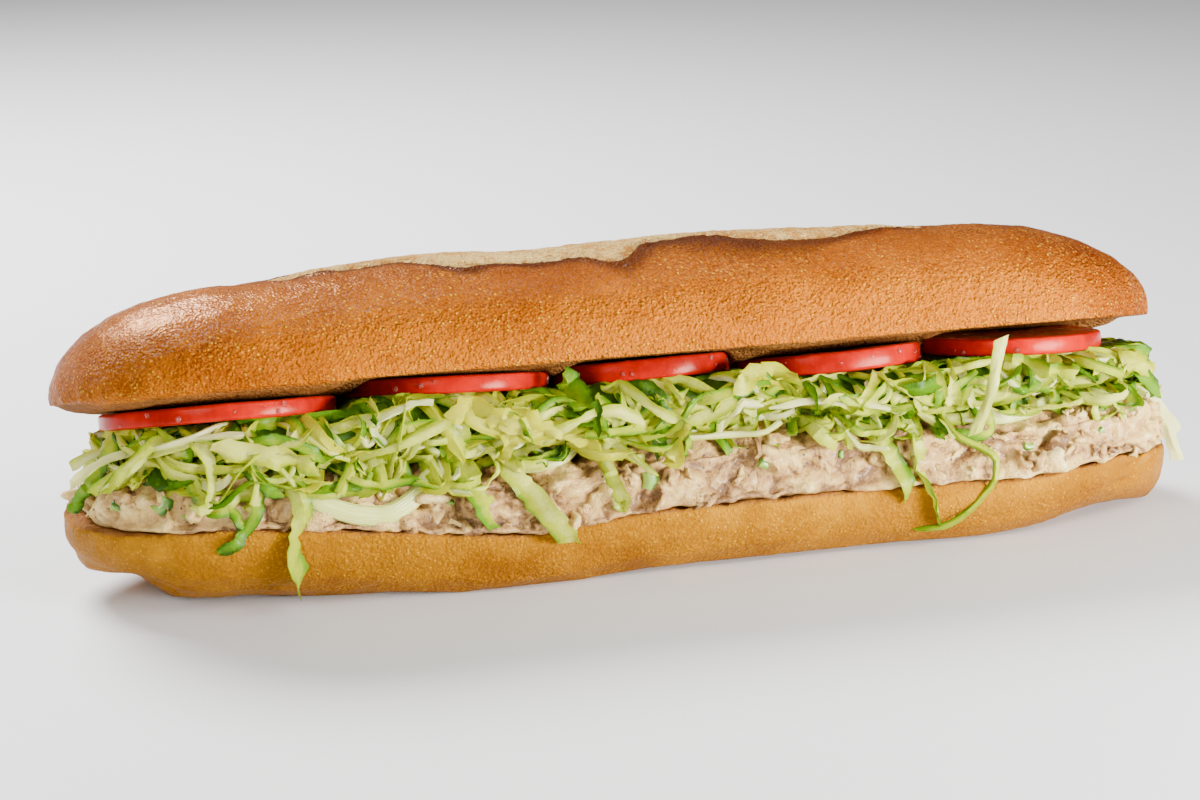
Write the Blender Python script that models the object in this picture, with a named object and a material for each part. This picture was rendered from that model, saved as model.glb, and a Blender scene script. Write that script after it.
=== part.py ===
"""A tuna submarine sandwich: a long roll cut in two, with its upper half propped open at the front.

Metres, +Z up. X runs along the roll, the open side faces -Y, and the origin is the middle of the
flat that the lower half rests on. The upper half and the tomato slices lean back with the roll's
opening, so they are placed under one empty, the lid, whose own z = 0 is the upper half's cut.
"""

import math
import random

import bmesh
import bpy
from mathutils import Vector, noise

# The roll
ROLL_HALF_WIDTH = 0.038
TOP_ENDS = (-0.1525, 0.1495)
TOP_CAPS = (0.036, 0.050)
TOP_HEIGHT = 0.0303
BOTTOM_ENDS = (-0.150, 0.1555)
BOTTOM_CAPS = (0.042, 0.048)
BOTTOM_DEPTH = 0.0252
CUT_LEVEL = 0.0197
CROWN_POWER = 2.35
BELLY_POWER = 2.2

# How far the crumb of the upper half swells below its cut, along X
CRUMB_SWELL = [
    (-0.1500, 0.0), (-0.1420, 0.0029), (-0.0890, 0.0029), (-0.0810, -0.0002), (-0.0530, 0.0007),
    (-0.0280, 0.0014), (-0.0240, 0.0001), (0.0240, 0.0002), (0.0290, 0.0016), (0.0760, 0.0004),
    (0.0800, -0.0013), (0.1330, -0.0012), (0.1460, 0.0),
]

# The opening: how far the lid leans back, and the height of the middle of its cut
LID_TILT = math.radians(15.0)
LID_LEVEL = 0.0505

# The score along the crown, where the crust split in the oven and the paler crumb swelled up.
# The front lip runs at a share of the crown's height, with dips as place, breadth and depth.
SCORE_ENDS = (-0.097, 0.082)
SCORE_NOTCH = 0.0009
SCORE_SWELL = 0.0005
EAR_HEIGHT = 0.0005
LIP_SHARE = 0.965
LIP_DIPS = [
    (-0.050, 0.008, 0.11), (-0.031, 0.013, 0.09), (-0.010, 0.008, 0.16),
    (0.040, 0.013, 0.08), (0.056, 0.010, 0.03),
]

# Fillings
TUNA_ENDS = (-0.146, 0.1545)
TUNA_CAPS = (0.034, 0.040)
TUNA_FRONT_HEIGHT = 0.0200
TUNA_BACK_HEIGHT = 0.0090
TUNA_POWER = 3.0
TUNA_LUMP = 0.0009
LETTUCE_ENDS = (-0.143, 0.148)
LETTUCE_HALF_WIDTH = 0.0365
LETTUCE_UNDER_SLICE = 0.0005
LETTUCE_OVER_TUNA = 0.0019
SHRED_THICKNESS = 0.0009
CLEARANCE = 0.0004

SLICES = [
    {"x": -0.1115, "radius": 0.0298, "drop": 0.0034, "thick": 0.0042, "roll": 0.0, "pitch": 0.0},
    {"x": -0.0530, "radius": 0.0270, "drop": 0.0012, "thick": 0.0044, "roll": 2.0, "pitch": 0.0},
    {"x": -0.0006, "radius": 0.0248, "drop": 0.0008, "thick": 0.0052, "roll": -0.5, "pitch": 0.5},
    {"x": 0.0535, "radius": 0.0260, "drop": 0.0024, "thick": 0.0054, "roll": -1.5, "pitch": 1.5},
    {"x": 0.1070, "radius": 0.0258, "drop": 0.0016, "thick": 0.0046, "roll": 1.0, "pitch": 5.4},
]
SLICE_BACK_SET = 0.004

# Onion pieces on the tuna's front, as x and z of the way each one runs, and their breadth
ONIONS = [
    {"way": [(-0.104, 0.0385), (-0.097, 0.0320), (-0.087, 0.0268), (-0.077, 0.0252),
             (-0.069, 0.0285), (-0.0645, 0.0335)], "breadth": 0.0048},
    {"way": [(-0.050, 0.0345), (-0.043, 0.0318), (-0.035, 0.0312), (-0.027, 0.0328),
             (-0.020, 0.0360)], "breadth": 0.0030},
    {"way": [(-0.012, 0.0350), (-0.004, 0.0368), (0.006, 0.0372), (0.016, 0.0362)], "breadth": 0.0030},
    {"way": [(0.084, 0.0350), (0.093, 0.0332), (0.103, 0.0340), (0.112, 0.0372)], "breadth": 0.0036},
]
ONION_THICKNESS = 0.0024

# Long shreds that hang over the front, as x and z of the way each one falls, and their width
HANGING = [
    ([(-0.094, 0.046), (-0.100, 0.038), (-0.0985, 0.028), (-0.101, 0.019), (-0.098, 0.0075)], 0.0048),
    ([(-0.112, 0.043), (-0.109, 0.033), (-0.113, 0.024), (-0.119, 0.0195)], 0.0034),
    ([(-0.126, 0.041), (-0.122, 0.032), (-0.116, 0.030), (-0.1135, 0.0255)], 0.0036),
    ([(-0.060, 0.046), (-0.057, 0.038), (-0.054, 0.029), (-0.050, 0.0215)], 0.0072),
    ([(-0.046, 0.043), (-0.044, 0.034), (-0.038, 0.025), (-0.0295, 0.0135)], 0.0052),
    ([(-0.024, 0.042), (-0.0195, 0.035), (-0.017, 0.027), (-0.015, 0.0205)], 0.0034),
    ([(0.045, 0.046), (0.053, 0.037), (0.059, 0.028), (0.0635, 0.0165)], 0.0046),
    ([(0.060, 0.047), (0.064, 0.036), (0.067, 0.023), (0.0745, 0.0065)], 0.0046),
    ([(0.074, 0.044), (0.078, 0.032), (0.087, 0.026), (0.0865, 0.0165), (0.077, 0.0085),
      (0.068, 0.0062)], 0.0032),
    ([(0.020, 0.045), (0.028, 0.0405), (0.036, 0.0385), (0.043, 0.0335)], 0.0050),
    ([(0.104, 0.046), (0.110, 0.040), (0.121, 0.039), (0.128, 0.034)], 0.0048),
]
FRONT_SHREDS = 26
BACK_SHREDS = 7
END_SHREDS = 3
TUNA_FLAKES = 12
CELERY = [(-0.133, 0.0294), (-0.0075, 0.0245), (0.024, 0.0275), (0.098, 0.0265)]

COLOURS = {
    "crust_top": ((0.52, 0.23, 0.045), 0.42),
    "crust_bottom": ((0.58, 0.29, 0.065), 0.5),
    "tuna": ((0.68, 0.52, 0.38), 0.55),
    "onion": ((0.72, 0.72, 0.58), 0.35),
    "lettuce": ((0.50, 0.58, 0.16), 0.45),
    "tomato": ((0.58, 0.04, 0.012), 0.25),
}


def bump(x, middle, width):
    """A smooth hill of height 1."""
    return math.exp(-(((x - middle) / width) ** 2))


def smooth(low, high, x):
    t = min(1.0, max(0.0, (x - low) / (high - low)))
    return t * t * (3 - 2 * t)


def mix(a, b, t):
    return a + (b - a) * t


def power(value, exponent):
    """A power that keeps the sign, for super-ellipses."""
    return math.copysign(abs(value) ** exponent, value)


def round_end(x, ends, caps):
    """1 along the middle, and falling to 0 at both ends as quarter ellipses of these lengths."""
    inside, cap = (x - ends[0], caps[0]) if x < 0 else (ends[1] - x, caps[1])
    return math.sqrt(max(0.0, 1 - max(0.0, 1 - max(0.0, inside) / cap) ** 2))


def stations(ends, caps, end_count, step):
    """Places along X: close together where the ends round off, even between them."""
    left = [ends[0] + caps[0] * (1 - math.cos(math.pi / 2 * i / end_count)) for i in range(1, end_count)]
    right = [ends[1] - caps[1] * (1 - math.cos(math.pi / 2 * i / end_count)) for i in range(1, end_count)]
    start, stop = ends[0] + caps[0], ends[1] - caps[1]
    count = max(2, round((stop - start) / step))
    return left + [start + (stop - start) * i / count for i in range(count + 1)] + right[::-1]


def lump(x, y, z, size):
    """Smooth unevenness between -1 and 1, the same each time."""
    return noise.noise(Vector((x, y, z)) / size)


# The roll's outline in plan and in height

def top_half_width(x):
    sway = 0.0008 * math.sin(x * 48 + 1)
    return (ROLL_HALF_WIDTH + sway) * round_end(x, TOP_ENDS, TOP_CAPS)


def top_height(x):
    height = TOP_HEIGHT - 0.0037 * (1 - smooth(-0.130, -0.030, x)) - 0.0021 * smooth(0.055, 0.105, x)
    height += 0.0005 * math.sin(x * 75) - 0.0006 * bump(x, -0.030, 0.012)
    return height * round_end(x, TOP_ENDS, (0.045, 0.055))


def bottom_half_width(x):
    return ROLL_HALF_WIDTH * round_end(x, BOTTOM_ENDS, BOTTOM_CAPS)


def cut_level(x):
    """Height of the lower half's cut edge, which the knife left thicker to the left."""
    level = CUT_LEVEL + 0.0052 * bump(x, -0.116, 0.034) - 0.0030 * bump(x, -0.040, 0.021)
    level += 0.0015 * bump(x, 0.127, 0.013) - 0.0012 * bump(x, 0.096, 0.018)
    return level - 0.0025 * smooth(0.140, 0.1575, x)


def belly_depth(x):
    """How far the lower half would reach below its cut if the table didn't flatten it."""
    from_left, from_right = x - BOTTOM_ENDS[0], BOTTOM_ENDS[1] - x
    depth = BOTTOM_DEPTH - 0.0050 * smooth(0.080, 0.135, x)
    depth *= mix(0.60, 1.0, smooth(0.012, 0.027, from_left))
    return depth * round_end(x, BOTTOM_ENDS, (0.007, 0.006)) if min(from_left, from_right) > 0 else 0.0


def belly_half_width(x, z):
    """Half width of the lower half at a height below its cut."""
    share = min(1.0, max(0.0, (cut_level(x) - z) / max(belly_depth(x), 1e-5)))
    return bottom_half_width(x) * (1 - share**BELLY_POWER) ** (1 / BELLY_POWER)


def scoop(x, y):
    """Height of the lower half's cut face, pressed in along the middle by the filling."""
    across = min(1.0, abs(y) / max(bottom_half_width(x), 1e-5))
    return cut_level(x) - 0.0022 * (1 - across**4) * round_end(x, BOTTOM_ENDS, BOTTOM_CAPS)


# The tuna salad, as a radius about the middle of the lower half's cut

def tuna_half_width(x):
    overhang = 0.0006 + 0.0012 * (bump(x, -0.052, 0.012) + bump(x, 0.096, 0.020))
    overhang -= 0.0015 * bump(x, -0.115, 0.02)
    return (ROLL_HALF_WIDTH - 0.0005 + overhang) * round_end(x, TUNA_ENDS, TUNA_CAPS)


def tuna_height(x, angle):
    """Higher at the front, where the roll opens, than at the back."""
    forward = (1 + math.cos(angle)) / 2
    height = mix(TUNA_BACK_HEIGHT, TUNA_FRONT_HEIGHT, forward)
    height += forward * (0.0020 * bump(x, -0.130, 0.014) + 0.0016 * bump(x, 0.040, 0.022))
    height -= forward * 0.0020 * bump(x, -0.030, 0.030)
    return height * round_end(x, TUNA_ENDS, (0.022, 0.024))


def tuna_radius(x, angle, lumpy=True):
    across, up = abs(math.cos(angle)), max(0.0, math.sin(angle))
    wide, high = max(tuna_half_width(x), 1e-5), max(tuna_height(x, angle), 1e-5)
    radius = ((across / wide) ** TUNA_POWER + (up / high) ** TUNA_POWER) ** (-1 / TUNA_POWER)
    if not lumpy:
        return radius
    y, z = -radius * math.cos(angle), radius * math.sin(angle)
    rough = lump(x, y, z, 0.0085) + 0.55 * lump(x + 0.3, y, z, 0.0042)
    return radius + TUNA_LUMP * rough * round_end(x, TUNA_ENDS, TUNA_CAPS)


def tuna_top(x, y):
    """Height of the tuna salad over this place, without its lumps."""
    share = min(1.0, abs(y) / max(tuna_half_width(x), 1e-5))
    angle = math.pi / 2
    for _ in range(3):
        rise = tuna_height(x, angle) * (1 - share**TUNA_POWER) ** (1 / TUNA_POWER)
        angle = math.atan2(max(rise, 1e-5), -y)
    return cut_level(x) + rise


def around_cut(x, angle, radius):
    """A point at this angle, from the front over the top, about the middle of the cut."""
    return Vector((x, -radius * math.cos(angle), cut_level(x) + radius * math.sin(angle)))


def slices_depth(x, y):
    """How far under the lid's cut the slice nearest this place reaches, by its lower face."""
    one = min(SLICES, key=lambda each: abs(each["x"] - x))
    tilt = (x - one["x"]) * math.tan(math.radians(one["roll"]))
    tilt -= (y + SLICE_BACK_SET) * math.tan(math.radians(one["pitch"]))
    return one["drop"] + one["thick"] + tilt


# The lid's plane and the tomato slices' places in it

def lid_height(y, drop):
    """Height in the room of a point that is this far under the lid's cut, at this y."""
    return LID_LEVEL - y * math.tan(LID_TILT) - drop / math.cos(LID_TILT)


def table(pairs, x):
    """Value at x of a line drawn through these pairs."""
    for (x0, y0), (x1, y1) in zip(pairs, pairs[1:]):
        if x <= x1:
            return mix(y0, y1, max(0.0, (x - x0) / (x1 - x0)))
    return pairs[-1][1]


def crumb_face(x, y):
    """The upper half's cut face: the crumb swells down between the crusts and rests on the slices."""
    across = min(1.0, abs(y) / max(top_half_width(x), 1e-5))
    return -table(CRUMB_SWELL, x) * (1 - across**6)


# Mesh helpers

def new_object(name, mesh, collection, colour):
    thing = bpy.data.objects.new(name, mesh)
    collection.objects.link(thing)
    if colour:
        mesh.materials.clear()
        mesh.materials.append(material(colour))
    return thing


def material(name):
    made = bpy.data.materials.get(name)
    if made:
        return made
    made = bpy.data.materials.new(name)
    made.use_nodes = True
    colour, roughness = COLOURS[name]
    shader = made.node_tree.nodes["Principled BSDF"]
    shader.inputs["Base Color"].default_value = (*colour, 1.0)
    shader.inputs["Roughness"].default_value = roughness
    shader.inputs["Metallic"].default_value = 0.0
    made.diffuse_color = (*colour, 1.0)
    return made


def loft(name, rings, tips, angle=40):
    """A closed skin over rings of points, with a point at each end."""
    mesh = bmesh.new()
    rows = [[mesh.verts.new(point) for point in ring] for ring in rings]
    count = len(rows[0])
    for low, high in zip(rows, rows[1:]):
        for i in range(count):
            j = (i + 1) % count
            mesh.faces.new((low[i], low[j], high[j], high[i]))
    for tip, row in zip(tips, (rows[0], rows[-1])):
        end = mesh.verts.new(tip)
        for i in range(count):
            mesh.faces.new((row[i], row[(i + 1) % count], end))
    bmesh.ops.recalc_face_normals(mesh, faces=mesh.faces)
    made = bpy.data.meshes.new(name)
    mesh.to_mesh(made)
    mesh.free()
    made.shade_smooth()
    made.set_sharp_from_angle(angle=math.radians(angle))
    return made


def body_volume(body):
    """Signed volume of connected faces."""
    total = 0.0
    for face in body:
        corners = [loop.vert.co for loop in face.loops]
        for i in range(1, len(corners) - 1):
            total += corners[0].dot(corners[i].cross(corners[i + 1])) / 6
    return total


def keep_largest(mesh):
    """Drops loose scraps and fills sealed hollows: only the biggest outer skin stays."""
    work = bmesh.new()
    work.from_mesh(mesh)
    seen, bodies = set(), []
    for face in work.faces:
        if face in seen:
            continue
        body, edge = [], [face]
        seen.add(face)
        while edge:
            one = edge.pop()
            body.append(one)
            for side in one.edges:
                for other in side.link_faces:
                    if other not in seen:
                        seen.add(other)
                        edge.append(other)
        bodies.append(body)
    largest = max(bodies, key=body_volume)
    scraps = [face for body in bodies if body is not largest for face in body]
    bmesh.ops.delete(work, geom=scraps, context="FACES")
    loose = [vert for vert in work.verts if not vert.link_faces]
    bmesh.ops.delete(work, geom=loose, context="VERTS")
    bmesh.ops.triangulate(work, faces=work.faces)
    work.to_mesh(mesh)
    work.free()


def combine(thing, pieces, operation):
    """Joins or cuts with a whole collection at once, applies it, and removes the collection."""
    cut = thing.modifiers.new("pieces", "BOOLEAN")
    cut.operand_type = "COLLECTION"
    cut.collection = pieces
    cut.operation = operation
    cut.solver = "MANIFOLD"
    graph = bpy.context.evaluated_depsgraph_get()
    result = bpy.data.meshes.new_from_object(thing.evaluated_get(graph))
    thing.modifiers.clear()
    old, name = thing.data, thing.data.name
    thing.data = result
    bpy.data.meshes.remove(old)
    result.name = name
    for piece in list(pieces.objects):
        bpy.data.objects.remove(piece)
    bpy.data.collections.remove(pieces)
    keep_largest(thing.data)


def hidden_collection(name):
    made = bpy.data.collections.new(name)
    bpy.context.scene.collection.children.link(made)
    made.hide_render = True
    return made


def ribbon(name, points, faces_out, widths, thick, sides=4):
    """A wavy strip along points: width across the way it faces, and a thickness. Both ends close."""
    rings = []
    count = len(points)
    for i, point in enumerate(points):
        along = (points[min(i + 1, count - 1)] - points[max(i - 1, 0)]).normalized()
        out = (faces_out[i] - along * faces_out[i].dot(along)).normalized()
        across = along.cross(out)
        half, deep = widths[i] / 2, thick / 2
        if sides == 4:
            corners = [(-half, -deep), (half, -deep), (half, deep), (-half, deep)]
        else:
            turns = [math.tau * k / sides for k in range(sides)]
            corners = [(half * power(math.cos(t), 0.7), deep * power(math.sin(t), 0.7)) for t in turns]
        rings.append([point + across * a + out * b for a, b in corners])
    tips = (points[0].lerp(points[1], -0.12), points[-1].lerp(points[-2], -0.12))
    return loft(name, rings, tips, angle=60)


def smooth_way(corners, count):
    """Points spaced evenly in parameter on a smooth curve through these corners."""
    ends = [corners[0]] + list(corners) + [corners[-1]]
    found = []
    for i in range(count):
        t = i / (count - 1) * (len(corners) - 1)
        k = min(int(t), len(corners) - 2)
        u = t - k
        a, b, c, d = ends[k : k + 4]
        found.append(tuple(
            0.5 * (2 * q + (r - p) * u + (2 * p - 5 * q + 4 * r - s) * u * u + (3 * q - p - 3 * r + s) * u**3)
            for p, q, r, s in zip(a, b, c, d)
        ))
    return found


# The roll's two halves

def crown_ring(x):
    """One slice across the upper half: front crust, score, back crust, then the cut face back again."""
    wide, high = top_half_width(x), top_height(x)
    middle = (x - SCORE_ENDS[0]) / (SCORE_ENDS[1] - SCORE_ENDS[0])
    lens = math.sin(math.pi * min(1.0, max(0.0, middle))) ** 0.7
    split = smooth(0.0, 0.14, middle) * (1 - smooth(0.86, 1.0, middle))
    ratio = LIP_SHARE - sum(depth * bump(x, place, breadth) for place, breadth, depth in LIP_DIPS)
    front_lip = math.asin(ratio ** (CROWN_POWER / 2))
    back_lip = max(math.radians(80) + math.radians(27) * lens, front_lip + math.radians(9))
    step = math.radians(2.6)
    rows = [(front_lip * i / 7, 0.0) for i in range(7)]
    rows += [(front_lip, EAR_HEIGHT * split), (front_lip + step, -SCORE_NOTCH * split)]
    rows += [(mix(front_lip, back_lip, share), SCORE_SWELL * split) for share in (0.4, 0.7)]
    rows += [(back_lip - step, -SCORE_NOTCH / 2 * split), (back_lip, EAR_HEIGHT / 2 * split)]
    rows += [(mix(back_lip, math.pi, i / 5), 0.0) for i in range(1, 6)]
    points = []
    for angle, proud in rows:
        cosine, sine = math.cos(angle), math.sin(angle)
        belly_out = 1 + 0.035 * math.sin(2 * min(angle, math.pi - angle))
        y = -wide * power(cosine, 2 / CROWN_POWER) * belly_out
        z = high * power(max(0.0, sine), 2 / CROWN_POWER)
        far = max(math.hypot(y, z), 1e-6)
        swell = 1 + (proud + 0.0004 * lump(x, y, z, 0.020)) / far if 0 < angle < math.pi else 1
        points.append(Vector((x, y * swell, z * swell)))
    for share in (0.90, 0.45, -0.10, -0.60, -0.90):
        points.append(Vector((x, wide * share, crumb_face(x, wide * share))))
    return points


def make_top(collection, lid):
    rings = [crown_ring(x) for x in stations(TOP_ENDS, TOP_CAPS, 6, 0.0056)]
    mesh = loft("top_bun", rings, [Vector((x, 0, 0.002)) for x in TOP_ENDS], angle=34)
    top = new_object("top_bun", mesh, collection, "crust_top")
    top.parent = lid
    return top


def make_bottom(collection):
    """The lower half: a pressed-in cut face over a rounded belly that the table flattens."""
    rings = []
    for x in stations(BOTTOM_ENDS, BOTTOM_CAPS, 7, 0.0085):
        wide, cut, depth = bottom_half_width(x), cut_level(x), belly_depth(x)
        ring = [Vector((x, y * wide, scoop(x, y * wide))) for y in (-1.0, -0.78, -0.30, 0.30, 0.78)]
        for i in range(12):
            angle = math.pi * (1 - i / 12)
            y = -wide * power(math.cos(angle), 2 / BELLY_POWER)
            z = cut - depth * power(max(0.0, math.sin(angle)), 2 / BELLY_POWER)
            ring.append(Vector((x, y, max(0.0, z))))
        rings.append(ring)
    tips = [Vector((x, 0, cut_level(x) - 0.004)) for x in BOTTOM_ENDS]
    return new_object("bottom_bun", loft("bottom_bun", rings, tips, angle=34), collection, "crust_bottom")


# The tuna salad

def tuna_mesh(name, grown):
    """Each ring runs round the outside from the front lip to the back one, then back on the cut face."""
    rings = []
    for x in stations(TUNA_ENDS, TUNA_CAPS, 5, 0.0064):
        points = []
        for i in range(11):
            angle = math.radians(mix(2.0, 178.0, i / 10))
            points.append(around_cut(x, angle, tuna_radius(x, angle) + grown))
        wide = min(tuna_half_width(x), bottom_half_width(x))
        for share in (0.93, 0.45, -0.05, -0.55, -0.95):
            points.append(Vector((x, wide * share, scoop(x, wide * share) + CLEARANCE - grown)))
        rings.append(points)
    return loft(name, rings, [Vector((x, 0, cut_level(x) + 0.003)) for x in TUNA_ENDS])


def front_of_tuna(x, z):
    """How far forward the tuna salad reaches at this height, without its lumps."""
    share = min(0.98, max(0.0, (z - cut_level(x)) / max(tuna_height(x, 0.3), 1e-4)))
    return tuna_half_width(x) * (1 - share**TUNA_POWER) ** (1 / TUNA_POWER)


def crowded(x, reach):
    """Whether a hanging shred or an onion piece passes this x."""
    near_shred = any(abs(px - x) < reach for way, _ in HANGING for px, pz in way if pz < 0.040)
    near_onion = any(one["way"][0][0] - reach < x < one["way"][-1][0] + reach for one in ONIONS)
    return near_shred or near_onion


def make_tuna(collection, cutters):
    tuna = new_object("tuna_salad", tuna_mesh("tuna_salad", 0.0), collection, "tuna")
    lumps = hidden_collection("tuna_lumps")
    draw = random.Random(11)
    placed = 0
    while placed < TUNA_FLAKES:
        x = draw.uniform(TUNA_ENDS[0] + 0.012, TUNA_ENDS[1] - 0.012)
        angle = math.radians(draw.choice((draw.uniform(7, 16), draw.uniform(163, 172))))
        size = draw.uniform(0.0022, 0.0036)
        middle = around_cut(x, angle, tuna_radius(x, angle) - size * 0.45)
        if angle < 1 and (crowded(x, 0.005) or middle.z > 0.031):
            continue
        mesh = bmesh.new()
        bmesh.ops.create_icosphere(mesh, subdivisions=1, radius=size)
        for vert in mesh.verts:
            vert.co.x *= draw.uniform(1.0, 1.5)
            vert.co += middle
        made = bpy.data.meshes.new("flake")
        mesh.to_mesh(made)
        mesh.free()
        new_object("flake", made, lumps, "tuna")
        placed += 1
    for x, z in CELERY:
        made = celery_piece(x, z)
        new_object("celery", made, lumps, "tuna")
    combine(tuna, lumps, "UNION")
    new_object("room_for_tuna", tuna_mesh("room_for_tuna", CLEARANCE), cutters, None)
    return tuna


def celery_piece(x, z):
    """A crescent of celery, half sunk in the tuna salad's front."""
    turn = x * 40
    corners = []
    for k in range(4):
        angle = turn + math.radians(-70 + 140 * k / 3)
        px, pz = x + 0.0030 * math.cos(angle), z + 0.0030 * math.sin(angle)
        corners.append(Vector((px, -front_of_tuna(px, pz) - 0.0003, pz)))
    outward = [Vector((0, -1, 0.2))] * 4
    return ribbon("celery", corners, outward, [0.0024, 0.0030, 0.0030, 0.0024], 0.0034, sides=6)


# Onion

def onion_way(one, count):
    return [Vector((x, -front_of_tuna(x, z) - 0.0007, z)) for x, z in smooth_way(one["way"], count)]


def onion_mesh(name, one, grown):
    points = onion_way(one, 9)
    if grown:
        points = [points[0].lerp(points[1], -0.3)] + points + [points[-1].lerp(points[-2], -0.3)]
    count = len(points)
    outward = [Vector((0, -1, 0.15))] * count
    extra = 2 * CLEARANCE if grown else 0.0
    shares = [mix(0.72, 1.0, math.sin(math.pi * i / (count - 1))) for i in range(count)]
    widths = [one["breadth"] * share + extra for share in shares]
    return ribbon(name, points, outward, widths, ONION_THICKNESS + extra, sides=6)


def make_onions(collection, tuna, cutters):
    """Pieces of sliced onion lie on the front of the tuna salad, which is pressed in behind them."""
    beds = hidden_collection("onion_beds")
    for number, one in enumerate(ONIONS, 1):
        name = f"onion_{number}"
        new_object(name, onion_mesh(name, one, False), collection, "onion")
        bed = new_object(f"bed_{number}", onion_mesh(f"bed_{number}", one, True), beds, None)
        new_object(f"gap_{number}", bed.data.copy(), cutters, None)
    combine(tuna, beds, "DIFFERENCE")


# Tomato

def slice_mesh(one, grown):
    """A slice with a slightly uneven round rim, in its own frame, with its upper face at z = 0."""
    sides = 26
    lobes = one["x"] * 90

    def rim(inset, z):
        ring = []
        for k in range(sides):
            angle = math.tau * k / sides
            uneven = 0.012 * (math.cos(5 * angle + lobes) + math.cos(2 * angle + lobes))
            radius = one["radius"] * (1 + uneven) + grown - inset
            ring.append(Vector((radius * math.cos(angle), radius * math.sin(angle), z)))
        return ring

    low, high = -one["thick"] - grown, grown
    soft = 0.0007
    rings = [rim(soft, low), rim(0, low + soft), rim(0, high - soft), rim(soft, high)]
    return loft("slice", rings, (Vector((0, 0, low)), Vector((0, 0, high))), angle=50)


def lay_slice(thing, one, lid):
    thing.parent = lid
    thing.location = (one["x"], -SLICE_BACK_SET, -one["drop"])
    thing.rotation_euler = (math.radians(one["pitch"]), math.radians(one["roll"]), 0)


def make_slices(collection, lid, cutters):
    for number, one in enumerate(SLICES, 1):
        thing = new_object(f"tomato_{number}", slice_mesh(one, 0.0), collection, "tomato")
        lay_slice(thing, one, lid)
        cutter = new_object(f"room_{number}", slice_mesh(one, CLEARANCE), cutters, None)
        lay_slice(cutter, one, lid)


# Lettuce

def lettuce_half_width(x):
    return LETTUCE_HALF_WIDTH * round_end(x, LETTUCE_ENDS, (0.036, 0.036))


def lettuce_ring(x):
    """Inside on the tuna salad, outside up the front, under the slices and down the back."""
    wide = lettuce_half_width(x)
    inner = [Vector((x, wide * share, tuna_top(x, wide * share) + LETTUCE_OVER_TUNA * (1 + abs(share) ** 3)))
             for share in (0.84, 0.58, 0.25, -0.10, -0.45, -0.76, -0.91)]
    first, last = inner[-1], inner[0]
    outer = []
    over_the_top = [(share, 1.0) for share in (0.86, 0.35, -0.15, -0.60)]
    for share, up in [(1.0, 0.25), (1.0, 0.80)] + over_the_top + [(-0.93, 0.9)]:
        y = -wide * share
        base = mix(last.z, first.z, (share + 1) / 2)
        roof = lid_height(y, slices_depth(x, y) + LETTUCE_UNDER_SLICE)
        roof -= 0.0003 * (1 + lump(x, y, 0.0, 0.012))
        roof = mix(base + 0.004, roof, round_end(x, LETTUCE_ENDS, (0.020, 0.020)))
        roof = max(roof, tuna_top(x, y) + LETTUCE_OVER_TUNA * (1 + abs(share) ** 3) + 0.0015)
        rough = 0.0011 * lump(x, y, 7.0, 0.010)
        outer.append(Vector((x, y - rough, mix(base, roof, up))))
    return inner + outer


def front_reach(x, z):
    """How far forward the sandwich's own front is at this height: belly, tuna salad, then lettuce."""
    if z < cut_level(x):
        return belly_half_width(x, z)
    lettuce = lettuce_half_width(x) * smooth(0.0300, 0.0345, z)
    return max(front_of_tuna(x, z), lettuce)


def onion_near(x, z):
    """Whether an onion piece lies here, so that a shred has to pass over it."""
    reach = 0.0065
    places = [place for one in ONIONS for place in smooth_way(one["way"], 8)]
    return any(abs(px - x) < reach and abs(pz - z) < reach for px, pz in places)


def on_front(x, z, out):
    """A point off the front. Over the tuna salad and the crust it keeps clear of them."""
    if z < 0.0335:
        out = max(out, 0.0021)
    if onion_near(x, z):
        out = max(out, 0.0036)
    return Vector((x, -front_reach(x, z) - out, z))


def shred(name, points, widths, twist, start, shreds):
    outward = []
    count = len(points)
    for i in range(count):
        turn = start + twist * i / (count - 1)
        outward.append(Vector((0.15 * math.sin(turn * 1.7), -math.cos(turn), math.sin(turn))))
    new_object(name, ribbon(name, points, outward, widths, SHRED_THICKNESS), shreds, "lettuce")


def hanging_shreds(shreds):
    """Long shreds start inside the heap and fall over the tuna salad and the crust."""
    for way, width in HANGING:
        corners = smooth_way(way, 2 * len(way) - 1)
        points = [Vector((corners[0][0], -front_reach(*corners[0]) + 0.004, corners[0][1] + 0.001))]
        for i, (x, z) in enumerate(corners[1:]):
            points.append(on_front(x, z, 0.0016 + 0.0006 * math.sin(x * 900 + i)))
        count = len(points)
        widths = [width * mix(0.85, 1.0, math.sin(math.pi * i / (count - 1))) for i in range(count)]
        widths[-1] = width * 0.35
        shred("hanging", points, widths, 0.5 * math.sin(way[0][0] * 300), 0.1, shreds)


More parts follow.
